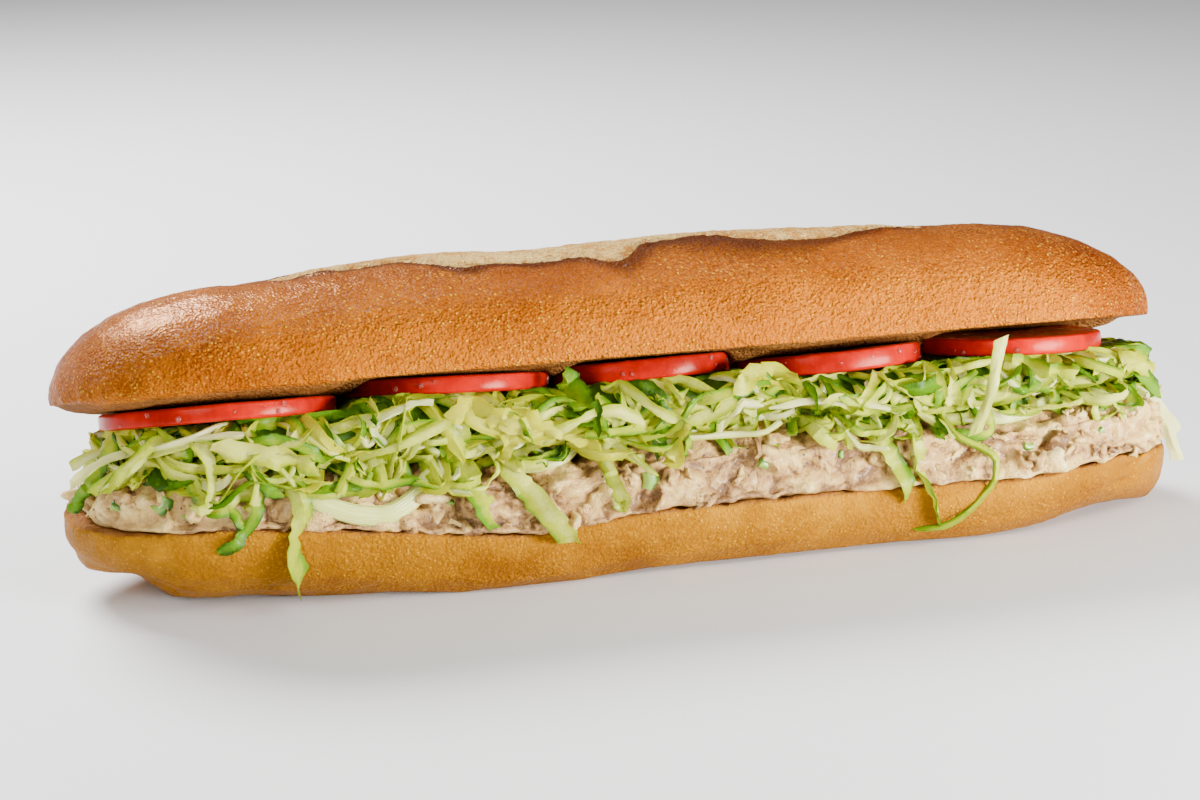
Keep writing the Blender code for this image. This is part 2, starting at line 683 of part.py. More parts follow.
def heap_shreds(shreds, draw):
    """Shreds that arch out of the front and the back of the heap, at every height of it."""
    total = FRONT_SHREDS + BACK_SHREDS
    for number in range(total):
        behind = number >= FRONT_SHREDS
        share = (number % FRONT_SHREDS + draw.uniform(0.1, 0.9)) / (BACK_SHREDS if behind else FRONT_SHREDS)
        x = mix(LETTUCE_ENDS[0] + 0.010, LETTUCE_ENDS[1] - 0.012, share)
        z = draw.uniform(0.0355, 0.0465) if not behind else draw.uniform(0.0300, 0.0330)
        length = draw.uniform(0.016, 0.030)
        rise = draw.uniform(-0.0050, 0.0050) if not behind else draw.uniform(-0.001, 0.001)
        out = draw.uniform(0.0012, 0.0036)
        phase = draw.uniform(0, math.tau)
        count = 5
        points = []
        for i in range(count):
            t = i / (count - 1)
            px = x + length * (t - 0.5)
            pz = z + rise * (t - 0.5) * 2 + 0.0012 * math.sin(4.5 * t + phase)
            proud = -0.0030 + (out + 0.0030) * math.sin(math.pi * t) ** 0.6
            if behind:
                points.append(Vector((px, lettuce_half_width(px) + proud - 0.0008, pz)))
            else:
                points.append(Vector((px, -front_reach(px, pz) - proud, pz)))
        width = draw.uniform(0.0030, 0.0054) if not behind else 0.0032
        widths = [width * (0.8 + 0.2 * math.sin(phase + 2 * i)) for i in range(count)]
        twist = draw.uniform(-0.9, 0.9)
        shred("heap", points, widths, twist, draw.uniform(-0.4, 0.5), shreds)


def end_shreds(shreds, draw):
    """Shreds that stick out past both ends of the heap, and one that hangs off the right end."""
    for side in (0, 1):
        sign = 1 if side else -1
        for k in range(END_SHREDS):
            y = mix(-0.016, 0.012, k / (END_SHREDS - 1))
            root = LETTUCE_ENDS[side] - sign * 0.014
            z = draw.uniform(0.0340, 0.0400)
            reach = draw.uniform(0.010, 0.018)
            points = []
            for t in (0, 0.3, 0.6, 0.85, 1.0):
                sag = 0.0030 * t - 0.0065 * t * t
                points.append(Vector((root + sign * reach * t, y - 0.004 * t, z + sag)))
            widths = [0.0042, 0.0046, 0.0040, 0.0030, 0.0016]
            shred("end", points, widths, draw.uniform(-0.6, 0.6), 1.2, shreds)
    fall = [(0.138, 0.0370), (0.150, 0.0385), (0.1575, 0.0330), (0.1610, 0.0240), (0.1645, 0.0140)]
    points = [Vector((x, -0.009 + 0.0015 * i, z)) for i, (x, z) in enumerate(smooth_way(fall, 9))]
    shred("end", points, [0.0040] * 8 + [0.0020], 0.3, 0.5, shreds)


def make_lettuce(collection, cutters):
    rings = [lettuce_ring(x) for x in stations(LETTUCE_ENDS, (0.036, 0.036), 5, 0.0100)]
    tips = [Vector((x, 0, tuna_top(x, 0) + 0.004)) for x in LETTUCE_ENDS]
    lettuce = new_object("lettuce", loft("lettuce", rings, tips), collection, "lettuce")
    shreds = hidden_collection("shreds")
    draw = random.Random(4)
    hanging_shreds(shreds)
    heap_shreds(shreds, draw)
    end_shreds(shreds, draw)
    combine(lettuce, shreds, "UNION")
    bpy.context.view_layer.update()
    combine(lettuce, cutters, "DIFFERENCE")
    return lettuce


def main():
    for old in list(bpy.data.objects):
        bpy.data.objects.remove(old)
    sandwich = bpy.data.collections.new("submarine_sandwich")
    bpy.context.scene.collection.children.link(sandwich)
    lid = bpy.data.objects.new("lid", None)
    lid.location = (0, 0, LID_LEVEL)
    lid.rotation_euler = (-LID_TILT, 0, 0)
    sandwich.objects.link(lid)
    room = hidden_collection("room_for_slices")
    make_top(sandwich, lid)
    make_bottom(sandwich)
    make_onions(sandwich, make_tuna(sandwich, room), room)
    make_slices(sandwich, lid, room)
    bpy.context.view_layer.update()
    make_lettuce(sandwich, room)


main()
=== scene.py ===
import math
import random

import bpy
import numpy as np
from mathutils import Matrix, Vector, noise
from mathutils.bvhtree import BVHTree


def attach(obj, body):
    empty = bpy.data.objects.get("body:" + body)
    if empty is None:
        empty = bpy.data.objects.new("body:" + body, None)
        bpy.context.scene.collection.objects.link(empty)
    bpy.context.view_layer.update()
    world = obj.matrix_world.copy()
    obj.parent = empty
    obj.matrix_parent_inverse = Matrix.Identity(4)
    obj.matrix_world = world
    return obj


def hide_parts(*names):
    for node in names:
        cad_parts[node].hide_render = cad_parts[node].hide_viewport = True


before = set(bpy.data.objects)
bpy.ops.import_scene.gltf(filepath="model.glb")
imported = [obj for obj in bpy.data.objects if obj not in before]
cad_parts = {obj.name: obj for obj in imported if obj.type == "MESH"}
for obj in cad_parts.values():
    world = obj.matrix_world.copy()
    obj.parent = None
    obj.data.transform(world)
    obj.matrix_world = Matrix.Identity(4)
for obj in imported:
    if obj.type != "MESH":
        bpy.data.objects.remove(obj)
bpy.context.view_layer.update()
bpy.ops.object.select_all(action="DESELECT")

# The roll as the solids have it: metres, X along it, the open side towards -Y
roll = {
    "halfWidth": 0.038,
    "topEnds": (-0.1525, 0.1495),
    "topCaps": (0.036, 0.050),
    "topHeight": 0.0303,
    "crownCaps": (0.045, 0.055),
    "crownPower": 2.35,
    "scoreEnds": (-0.097, 0.082),
    "lidTilt": math.radians(15.0),
    "lidLevel": 0.0505,
}
lidFrame = Matrix.Translation((0, 0, roll["lidLevel"])) @ Matrix.Rotation(-roll["lidTilt"], 4, "X")


def smooth(low, high, x):
    t = np.clip((x - low) / (high - low), 0.0, 1.0)
    return t * t * (3 - 2 * t)


def hill(x, middle, width):
    return np.exp(-(((x - middle) / width) ** 2))


def roundEnd(x, ends, caps):
    # 1 along the middle, falling to 0 at both ends as quarter ellipses
    inside = np.where(x < 0, (x - ends[0]) / caps[0], (ends[1] - x) / caps[1])
    return np.sqrt(np.maximum(0.0, 1 - np.maximum(0.0, 1 - np.maximum(0.0, inside)) ** 2))


def pickOnly(piece):
    bpy.ops.object.select_all(action="DESELECT")
    piece.select_set(True)
    bpy.context.view_layer.objects.active = piece


def switchTo(mode):
    bpy.ops.object.mode_set(mode=mode)


def applyModifier(piece, kind, **settings):
    pickOnly(piece)
    modifier = piece.modifiers.new(kind.title(), kind)
    for name, value in settings.items():
        setattr(modifier, name, value)
    bpy.ops.object.modifier_apply(modifier=modifier.name)


def linkMesh(name, mesh):
    piece = bpy.data.objects.new(name, mesh)
    bpy.context.scene.collection.objects.link(piece)
    pickOnly(piece)
    return piece


def softCopy(node, name, voxel, passes):
    # a CAD node's copy, merged, remeshed and smoothed, to be worked on
    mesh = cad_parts[node].data.copy()
    mesh.name = name
    mesh.materials.clear()
    piece = linkMesh(name, mesh)
    switchTo("EDIT")
    bpy.ops.mesh.select_all(action="SELECT")
    bpy.ops.mesh.remove_doubles(threshold=0.000001)
    switchTo("OBJECT")
    applyModifier(piece, "REMESH", mode="VOXEL", voxel_size=voxel, adaptivity=0.0)
    applyModifier(piece, "SMOOTH", factor=0.5, iterations=passes)
    return piece


def meshPiece(name, parts, faces):
    mesh = bpy.data.meshes.new(name)
    mesh.from_pydata(np.concatenate(parts).tolist(), [], faces)
    mesh.shade_smooth()
    return linkMesh(name, mesh)


def takePattern():
    # the points and faces of the primitive just added, which is only the pattern for copies
    pattern = bpy.context.active_object
    points = pointsOf(pattern)
    faces = [tuple(face.vertices) for face in pattern.data.polygons]
    bpy.data.objects.remove(pattern)
    return points, faces


def copiesPiece(name, copies, faces):
    size = len(copies[0])
    every = [tuple(number * size + i for i in face) for number in range(len(copies)) for face in faces]
    return meshPiece(name, copies, every)


def readVectors(values, name):
    found = np.empty(len(values) * 3)
    values.foreach_get(name, found)
    return found.reshape(-1, 3)


def pointsOf(piece):
    return readVectors(piece.data.vertices, "co")


def normalsOf(piece):
    return readVectors(piece.data.vertex_normals, "vector")


def setPoints(piece, points):
    piece.data.vertices.foreach_set("co", np.ascontiguousarray(points).ravel())
    piece.data.update()


def storeValue(piece, name, values):
    attribute = piece.data.attributes.new(name, "FLOAT", "POINT")
    attribute.data.foreach_set("value", np.asarray(values, dtype=np.float32))


def storeTone(piece, tones):
    attribute = piece.data.attributes.new("tone", "FLOAT_COLOR", "POINT")
    opaque = np.column_stack([tones, np.ones(len(tones))])
    attribute.data.foreach_set("color", opaque.astype(np.float32).ravel())


def noiseAt(points, size, shift=0.0):
    offset = Vector((shift, shift * 0.7, shift * 1.3))
    return np.array([noise.noise(Vector(point) / size + offset) for point in points])


def cellsAt(points, size, shift=0.0):
    # 0 in the middle of a lump, about 1 in the creases between lumps
    offset = Vector((shift, shift * 0.7, shift * 1.3))
    near = [noise.voronoi(Vector(point) / size + offset)[0] for point in points]
    return np.array([min(1.0, one[0] / max(one[1], 1e-6)) for one in near])


def moved(points, matrix):
    turn = np.array(matrix)
    return points @ turn[:3, :3].T + turn[:3, 3]


def finishPiece(piece, slot, material, *nodes):
    piece.data.materials.clear()
    piece.data.materials.append(material)
    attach(piece, "root")
    if nodes:
        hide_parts(*nodes)
    return piece


# Shader maths: a Wire holds one socket, and arithmetic on it adds Math nodes

class Wire:
    def __init__(self, tree, socket=None):
        self.tree, self.socket = tree, socket

    def node(self, kind, settings, values, output=0):
        made = self.tree.nodes.new("ShaderNode" + kind)
        for name, value in settings.items():
            setattr(made, name, value)
        for name, value in values.items():
            if isinstance(value, Wire):
                self.tree.links.new(value.socket, made.inputs[name])
            elif isinstance(value, tuple) and len(made.inputs[name].default_value) == 4:
                made.inputs[name].default_value = (*value, 1.0)
            else:
                made.inputs[name].default_value = value
        return Wire(self.tree, made.outputs[output] if made.outputs else None)

    def math(self, operation, *values):
        return self.node("Math", {"operation": operation}, dict(enumerate(values)))

    def __add__(self, other):
        return self.math("ADD", self, other)

    def __radd__(self, other):
        return self.math("ADD", other, self)

    def __sub__(self, other):
        return self.math("SUBTRACT", self, other)

    def __rsub__(self, other):
        return self.math("SUBTRACT", other, self)

    def __mul__(self, other):
        return self.math("MULTIPLY", self, other)

    def __rmul__(self, other):
        return self.math("MULTIPLY", other, self)

    def step(self, low, high):
        # 0 below low, 1 above high, smooth between
        values = {0: self, 1: low, 2: high, 3: 0.0, 4: 1.0}
        return self.node("MapRange", {"interpolation_type": "SMOOTHSTEP"}, values)

    def mix(self, first, second):
        # this wire is the share of the second colour
        return self.node("Mix", {"data_type": "RGBA"}, {0: self, 6: first, 7: second}, 2)


def newMaterial(name):
    made = bpy.data.materials.new(name)
    made.use_nodes = True
    made.node_tree.nodes.clear()
    wire = Wire(made.node_tree)
    return made, wire, wire.node("TexCoord", {}, {}, 3)


def noiseOf(place, scale, detail=3.0, rough=0.5, distort=0.0):
    values = {"Vector": place, "Scale": scale, "Detail": detail, "Roughness": rough, "Distortion": distort}
    return place.node("TexNoise", {}, values)


def cellsOf(place, scale):
    return place.node("TexVoronoi", {}, {"Vector": place, "Scale": scale})


def specksOf(place, scale, low, high):
    # 1 in the middle of each of many small cells, 0 around it
    return 1 - cellsOf(place, scale).step(low, high)


def valueOf(wire, name):
    return wire.node("Attribute", {"attribute_name": name}, {}, 2)


def toneOf(wire, channel):
    tone = wire.node("Attribute", {"attribute_name": "tone"}, {}, 0)
    return wire.node("SeparateColor", {}, {0: tone}, channel)


def bumpOf(height, strength, distance, normal=None):
    values = {"Strength": strength, "Distance": distance, "Height": height}
    if normal:
        values["Normal"] = normal
    return height.node("Bump", {}, values)


def principled(wire, **values):
    # fixed values on the shader's own sockets, and links for what varies
    names = {"baseColour": "Base Color", "roughness": "Roughness", "normal": "Normal", "coat": "Coat Weight",
             "coatRoughness": "Coat Roughness", "subsurface": "Subsurface Weight", "ior": "IOR",
             "subsurfaceRadius": "Subsurface Radius", "subsurfaceScale": "Subsurface Scale",
             "transmission": "Transmission Weight", "specular": "Specular IOR Level", "tint": "Specular Tint"}
    return wire.node("BsdfPrincipled", {}, {names[name]: value for name, value in values.items()})


def shown(made, shader):
    shader.node("OutputMaterial", {}, {"Surface": shader})
    return made


def surface(made, wire, **values):
    return shown(made, principled(wire, **values))


# Bread

crust = {
    "topDeep": (0.130, 0.018, 0.0002),
    "topGolden": (0.280, 0.060, 0.0003),
    "topPale": (0.520, 0.140, 0.0010),
    "ear": (0.075, 0.014, 0.001),
    "score": (0.760, 0.500, 0.170),
    "scoreShade": (0.560, 0.250, 0.050),
    "bottomDeep": (0.200, 0.066, 0.0004),
    "bottomGolden": (0.285, 0.108, 0.0003),
    "bottomPale": (0.460, 0.195, 0.0010),
    # the crumb and its holes are coloured dark as painted shade, since the crumb lies under the lid and the
    # filling
    "crumb": (0.300, 0.120, 0.030),
    "crumbShade": (0.120, 0.040, 0.008),
    "fleckAndGlint": (0.950, 0.480, 0.020),
    "paintedGlint": (0.780, 0.280, 0.030),
    "gloss": (1.000, 0.360, 0.050),
    "sheen": (1.000, 0.420, 0.080),
    "voxel": 0.00095,
    "earRise": 0.0007,
    "notch": 0.0008,
    "swell": 0.0007,
    "rest": 0.0034,
    "plug": 0.0096,
    "topRelief": ((0.00024, 0.013, 1), (0.00016, 0.0045, 4), (0.00017, 0.0021, 7)),
    "bottomRelief": ((0.00032, 0.015, 11), (0.00018, 0.0050, 14), (0.00012, 0.002, 17)),
}


def lipLines(x):
    # where the score's front and back lips run across the crown, as y in the lid's frame
    wide = roll["halfWidth"] * roundEnd(x, roll["topEnds"], roll["topCaps"])
    along = (x - roll["scoreEnds"][0]) / (roll["scoreEnds"][1] - roll["scoreEnds"][0])
    lens = np.sin(math.pi * np.clip(along, 0, 1)) ** 0.7
    ratio = 0.965 - 0.11 * hill(x, -0.050, 0.008) - 0.09 * hill(x, -0.031, 0.013)
    ratio -= 0.16 * hill(x, -0.010, 0.008) + 0.08 * hill(x, 0.040, 0.013) + 0.03 * hill(x, 0.056, 0.01)
    power = 2 / roll["crownPower"]
    front = np.arcsin(ratio ** (1 / power))
    back = np.maximum(math.radians(80) + math.radians(27) * lens, front + math.radians(9))
    frontY = -wide * np.cos(front) ** power
    backY = -wide * np.sign(np.cos(back)) * np.abs(np.cos(back)) ** power
    return frontY, backY


def crownHeight(x, y):
    # the upper half's even crown, over which the score and the torn lip are worked
    wide = (roll["halfWidth"] + 0.0008 * np.sin(x * 48 + 1)) * roundEnd(x, roll["topEnds"], roll["topCaps"])
    high = roll["topHeight"] - 0.0037 * (1 - smooth(-0.130, -0.030, x)) - 0.0021 * smooth(0.055, 0.105, x)
    high = high + 0.0005 * np.sin(x * 75) - 0.0006 * hill(x, -0.030, 0.012)
    high = high * roundEnd(x, roll["topEnds"], roll["crownCaps"])
    share = np.minimum(1, np.abs(y) / np.maximum(wide * 1.01, 1e-5))
    return high * (1 - share ** roll["crownPower"]) ** (1 / roll["crownPower"])


def bunEdge(x, low):
    # the lower half's cut edge rises near its left end and dips left of the middle
    return low + 0.0052 * hill(x, -0.116, 0.034) - 0.0030 * hill(x, -0.040, 0.021)


def crumbDepth(x, y):
    # how far under the cut the soft crumb sinks between the slices, and onto them
    depth = np.full(len(x), crust["rest"])
    for one in slices:
        top = one["drop"] + sliceTilt(one, x, y)
        far = np.hypot(x - one["x"], y + sliceSetBack)
        over = smooth(one["radius"] + 0.0015, one["radius"] - 0.0005, far)
        depth = depth * (1 - over) + np.minimum(depth, top - 0.0001) * over
    wide = roll["halfWidth"] * roundEnd(x, roll["topEnds"], roll["topCaps"])
    forward = -y / np.maximum(wide, 1e-5)
    # it stays behind the slices' front rims, and clear of the wet face of the right-hand slice
    right = smooth(0.070, 0.090, x)
    front = (1 - right) * smooth(0.60, 0.30, forward) + right * smooth(0.05, -0.25, forward)
    depth = depth * front * smooth(0.93, 0.70, -forward)
    # and it closes the gaps between neighbouring slices, behind their rims
    for one, other in zip(slices, slices[1:]):
        gap = (one["x"] + one["radius"] + other["x"] - other["radius"]) / 2
        plug = smooth(0.0036, 0.0020, np.abs(x - gap)) * smooth(-0.008, -0.004, y) * smooth(0.012, 0.008, y)
        depth = np.maximum(depth, crust["plug"] * plug)
    return depth


def makeTopCrust():
    piece = softCopy("top_bun", "topCrust", crust["voxel"], 8)
    points, normals = pointsOf(piece), normalsOf(piece)
    # the shaping is done in the lid's own frame, where z = 0 is its cut
    own, ownNormals = moved(points, lidFrame.inverted()), normals @ np.array(lidFrame)[:3, :3]
    x, y, up = own[:, 0], own[:, 1], ownNormals[:, 2]
    frontY, backY = lipLines(x)
    ragged = 0.0011 * noiseAt(own, 0.0045, 3) + 0.0007 * noiseAt(own, 0.0016, 5)
    high = smooth(0.012, 0.018, own[:, 2])
    fromFront, fromBack = y - frontY + ragged, backY - y + 0.7 * ragged
    ends = np.minimum(x - roll["scoreEnds"][0], roll["scoreEnds"][1] - x) * 0.35
    inside = np.where(high > 0.5, np.minimum(np.minimum(fromFront, fromBack), ends), -0.02)
    along = smooth(-0.003, 0.004, ends) * high
    # the front lip stands up torn over a notch, and the dough inside the score swells
    torn = 0.25 + 0.75 * smooth(-0.15, 0.30, noiseAt(own * (1, 0, 0), 0.012, 9))
    rise = crust["earRise"] * torn * hill(fromFront, -0.0010, 0.0011)
    rise -= crust["notch"] * hill(fromFront, 0.0008, 0.0009)
    rise += crust["swell"] * smooth(0.0008, 0.0045, inside)
    rise += 0.0004 * hill(fromBack, -0.0010, 0.0012) - 0.0003 * hill(fromBack, 0.0006, 0.0008)
    shaped = along * smooth(-0.0060, -0.0020, np.minimum(fromFront, fromBack))
    own[:, 2] += (crownHeight(x, y) + rise - own[:, 2]) * shaped
    fibre = noiseAt(own * (0.35, 1.0, 1.0), 0.0020, 2)
    relief = sum(amount * noiseAt(own, size, shift) for amount, size, shift in crust["topRelief"])
    relief += 0.00030 * fibre * along * smooth(0, 0.0012, inside)
    own += ownNormals * relief[:, None]
    under = smooth(0.35, 0.80, -up) * smooth(0.006, 0.001, own[:, 2])
    depth = crumbDepth(x, y) * roundEnd(x, (-0.148, 0.145), (0.02, 0.02))
    own[:, 2] = np.where(under > 0.5, np.minimum(own[:, 2], -depth + 0.00015 * fibre), own[:, 2])
    setPoints(piece, moved(own, lidFrame))
    height = own[:, 2] / roll["topHeight"]
    storeValue(piece, "inScore", inside * 1000)
    # the lips are browned: broadly along the front, and as a thin line along the back
    frontGap, backGap = (frontY - y) / (0.35 + 1.2 * hill(x, 0.021, 0.024)), (y - backY) / 0.45
    lipGap = np.where(2 * y > frontY + backY, backGap, frontGap)
    storeValue(piece, "fromLip", np.where(high > 0.3, lipGap * 1000, 40.0))
    storeValue(piece, "alongScore", along)
    storeValue(piece, "crumb", smooth(0.86, 0.97, -up) * smooth(0.004, 0.001, own[:, 2]))
    # the crust's tone: deeper towards the crown where it browned most, and paler low down as painted sheen;
    # darker low at the left end and along the right end as painted shade, and paler low down towards the right
    # as painted sheen
    left, right = smooth(-0.060, -0.120, x), smooth(0.092, 0.130, x)
    storeValue(piece, "shine", smooth(0.35, 0.80, height) * (0.40 + 0.60 * left))
    bake = height * 0.75 + 0.35 * left * smooth(0.75, 0.15, height) + 0.75 * right
    storeValue(piece, "bake", bake - 0.55 * hill(x, 0.080, 0.036) * smooth(0.60, 0.10, height))
    piece.data.shade_smooth()
    return finishPiece(piece, "crust_top", topCrustMaterial(), "top_bun")


def blistersAndGlints(colour, place, cells, patches, pale, share):
    # small paler blisters, lightened further as painted glints: the colour with them, and their relief
    grain = place.math("MAXIMUM", 0.60 - cellsOf(place, cells), 0.0)
    paler = grain.step(0.0, 0.45) * noiseOf(place, patches, 3).step(0.30, 0.60) * share
    return paler.mix(colour, pale), grain


def withCrumb(colour, place, fine):
    # the soft inside of the bread, coloured dark as painted shade: the colour with it, and where it lies
    crumb = valueOf(place, "crumb")
    holes = cellsOf(place, 420).step(0.12, 0.50)
    return crumb.mix(colour, (holes * 0.5 + 0.5 * fine).mix(crust["crumbShade"], crust["crumb"])), crumb


def topCrustMaterial():
    made, wire, place = newMaterial("bakedTopCrust")
    cloud, blotch = noiseOf(place, 38, 4, 0.55), noiseOf(place, 120, 3, 0.6)
    fine = noiseOf(place, 900, 3, 0.65)
    # the stored tone holds the browning with the painted shade and sheen, and cloudy patches are added to it
    bake = valueOf(wire, "bake") + (cloud - 0.5) * 1.2 + (blotch - 0.5) * 0.7
    colour = bake.step(0.00, 0.60).mix(crust["topPale"], crust["topGolden"])
    colour = bake.step(0.50, 1.10).mix(colour, crust["topDeep"])
    colour, grain = blistersAndGlints(colour, place, 1150, 80, crust["topPale"], 0.75)
    colour = ((1 - fine.step(0.34, 0.50)) * 0.45).mix(colour, crust["topDeep"])
    # pale specks of the crust, brightened as painted glints
    specks = specksOf(place, 620, 0.13, 0.28) * noiseOf(place, 55, 2).step(0.34, 0.54)
    colour = (specks * 0.70).mix(colour, crust["fleckAndGlint"])
    # fine peach specks are painted glints
    paintedGlint = noiseOf(place, 1500, 2, 0.6).step(0.50, 0.66) * noiseOf(place, 60, 3).step(0.35, 0.60)
    colour = (paintedGlint * 0.45).mix(colour, crust["paintedGlint"])
    lip = valueOf(wire, "fromLip") + (blotch - 0.5) * 5.0 + (fine - 0.5) * 6.0
    browned = (1 - lip.step(3.0, 13.5)) * valueOf(wire, "alongScore") * (0.55 + cloud * 0.8)
    colour = browned.mix(colour, crust["ear"])
    inScore = (valueOf(wire, "inScore") + (fine - 0.5) * 1.1).step(-0.10, 0.45)
    dough = noiseOf(place, 260, 4, 0.65) + (cloud - 0.5) * 0.6 + (fine - 0.5) * 0.5
    colour = inScore.mix(colour, dough.step(0.34, 0.62).mix(crust["scoreShade"], crust["score"]))
    colour, crumb = withCrumb(colour, place, fine)
    matt = wire.math("MAXIMUM", inScore, crumb)
    normal = bumpOf(grain + fine * 1.6 + specks * 0.6, 1.0, 0.0010)
    roughness = 0.36 + (blotch - 0.5) * 0.25 + matt * 0.45
    plain = principled(wire, baseColour=colour, roughness=roughness, ior=1.17, tint=crust["sheen"],
                       normal=bumpOf(blotch + cloud, 0.45, 0.0012, normal))
    # the gloss lies on the grain's tops only, so that a highlight breaks up into glints
    tops = (fine + grain * 0.7 + (blotch - 0.5) * 0.4).step(0.44, 0.66)
    glossy = principled(wire, baseColour=colour, roughness=0.24, ior=2.5, tint=crust["gloss"],
                        normal=bumpOf(grain + fine * 1.4, 0.22, 0.0008))
    share = (1 - matt) * valueOf(wire, "shine") * (0.30 + 0.70 * tops)
    return shown(made, wire.node("MixShader", {}, {0: share, 1: plain, 2: glossy}))


def makeBottomCrust():
    piece = softCopy("bottom_bun", "bottomCrust", crust["voxel"], 8)
    points, normals = pointsOf(piece), normalsOf(piece)
    x, z = points[:, 0], points[:, 2]
    relief = sum(amount * noiseAt(points, size, shift) for amount, size, shift in crust["bottomRelief"])
    # two creases in the crust at the right end, and one over the raised left end
    for low in (0.0125, 0.0170):
        crease = hill(z - low - (x - 0.130) * 0.35 - 0.0008 * np.sin(x * 700), 0, 0.0008)
        relief -= 0.0011 * crease * smooth(0.122, 0.132, x) * smooth(0.150, 0.142, x)
    relief -= 0.0005 * hill(z - 0.0085 + (x + 0.135) * 0.3, 0, 0.0012) * smooth(-0.122, -0.130, x)
    # the cut edge is uneven where the knife tore it
    rim = smooth(0.25, 0.75, normals[:, 2]) * smooth(0.011, 0.015, z)
    relief += 0.0005 * rim * (noiseAt(points, 0.0055, 19) + 0.6 * noiseAt(points, 0.0022, 20))
    relief *= smooth(0.0003, 0.0022, z)
    points += normals * relief[:, None]
    points[:, 2] = np.maximum(points[:, 2], 0.0)
    setPoints(piece, points)
    storeValue(piece, "crumb", smooth(0.55, 0.90, normals[:, 2]) * smooth(0.010, 0.014, z))
    storeValue(piece, "height", z / 0.022)
    piece.data.shade_smooth()
    return finishPiece(piece, "crust_bottom", bottomCrustMaterial(), "bottom_bun")


def bottomCrustMaterial():
    made, wire, place = newMaterial("bakedBottomCrust")
    height = valueOf(wire, "height")
    cloud, blotch = noiseOf(place, 30, 4, 0.55), noiseOf(place, 110, 3, 0.6)
    fine = noiseOf(place, 900, 3, 0.65)
    bake = height * 0.7 + (cloud - 0.5) * 1.8 + (blotch - 0.5) * 1.1
    colour = bake.step(-0.05, 0.40).mix(crust["bottomDeep"], crust["bottomGolden"])
    colour = bake.step(0.45, 1.05).mix(colour, crust["bottomPale"])
    colour = (height.step(0.80, 1.10) * 0.65).mix(colour, crust["bottomGolden"])
    colour, grain = blistersAndGlints(colour, place, 1050, 75, crust["bottomPale"], 0.65)
    # pale specks of the crust, brightened as painted glints
    specks = specksOf(place, 600, 0.10, 0.24) * noiseOf(place, 60, 2).step(0.40, 0.58)
    colour, crumb = withCrumb((specks * 0.50).mix(colour, crust["fleckAndGlint"]), place, fine)
    normal = bumpOf(grain * 0.5 + fine * 1.6 + specks * 0.5, 0.75, 0.0008)
    roughness = 0.42 + (blotch - 0.5) * 0.25 + crumb * 0.3
    return surface(made, wire, baseColour=colour, roughness=roughness, ior=1.17, tint=crust["sheen"],
                   normal=bumpOf(blotch + cloud, 0.35, 0.0010, normal))


# Tuna salad

tuna = {
    "cream": (0.800, 0.550, 0.165),
    "pink": (0.560, 0.320, 0.100),
    "shade": (0.200, 0.088, 0.022),
    "dressing": (0.930, 0.740, 0.310),
    "pepper": (0.040, 0.030, 0.020),
    "celeryPale": (0.260, 0.450, 0.060),
    "celeryDark": (0.030, 0.130, 0.008),
    "voxel": 0.00082,
    "lumps": ((0.0125, 0.0040, 0.45), (0.0060, 0.0021, 0.35), (0.0025, 0.0006, 0.20)),
    "lap": 0.0014,
    "flakes": 120,
    "chunks": 150,
    "chunkSize": (0.0014, 0.0046, 0.0024),
    "backBand": (0.0215, 0.0290),
    "celeryThick": 0.0018,
}


def makeTuna():
    piece = softCopy("tuna_salad", "tunaSalad", tuna["voxel"], 6)
    points, normals = pointsOf(piece), normalsOf(piece)
    warp = points + 0.0018 * np.stack([noiseAt(points, 0.006, shift) for shift in (21, 25, 29)], axis=1)
    smeared = smooth(0.05, 0.45, noiseAt(points, 0.012, 33))
    relief, tone = np.zeros(len(points)), np.zeros(len(points))
    for number, (size, rise, share) in enumerate(tuna["lumps"]):
        lumps = 1 - cellsAt(warp * (0.85, 1.0, 1.15), size, 31 + 4 * number)
        relief += rise * (lumps - 0.42) * (1 - 0.6 * smeared * (number > 0))
        tone += lumps * share
    relief -= 0.0016 * smooth(0.38, 0.62, noiseAt(points, 0.0068, 45))
    relief += 0.00020 * noiseAt(warp, 0.0012, 37)
    points += normals * (relief * smooth(-0.75, -0.15, normals[:, 2]))[:, None]
    # scallops of it lap over the cut edge of the lower half
    front = smooth(0.020, 0.034, -points[:, 1])
    low = hill(points[:, 2] - bunEdge(points[:, 0], 0.0197), 0.0014, 0.0024) * front
    alongX = points * (1, 0, 0)
    lap = tuna["lap"] * low * (0.35 + noiseAt(alongX, 0.0075, 49) + 0.5 * noiseAt(alongX, 0.0030, 51))
    points[:, 1] -= np.maximum(lap, -0.0004)
    points[:, 2] -= np.maximum(lap, 0) * 0.9
    setPoints(piece, points)
    # the ends are lighter: painted light at the left end, and at the right end more dressing together with
    # painted light
    ends = 0.24 * smooth(0.070, 0.120, points[:, 0]) + 0.20 * smooth(-0.105, -0.130, points[:, 0])
    # lighter on the lumps and darker in the creases and hollows as painted shade, with the painted light at the
    # ends added
    storeValue(piece, "lump", tone + relief * 90 + ends)
    piece.data.shade_smooth()
    return finishPiece(piece, "tuna", tunaMaterial(), "tuna_salad")


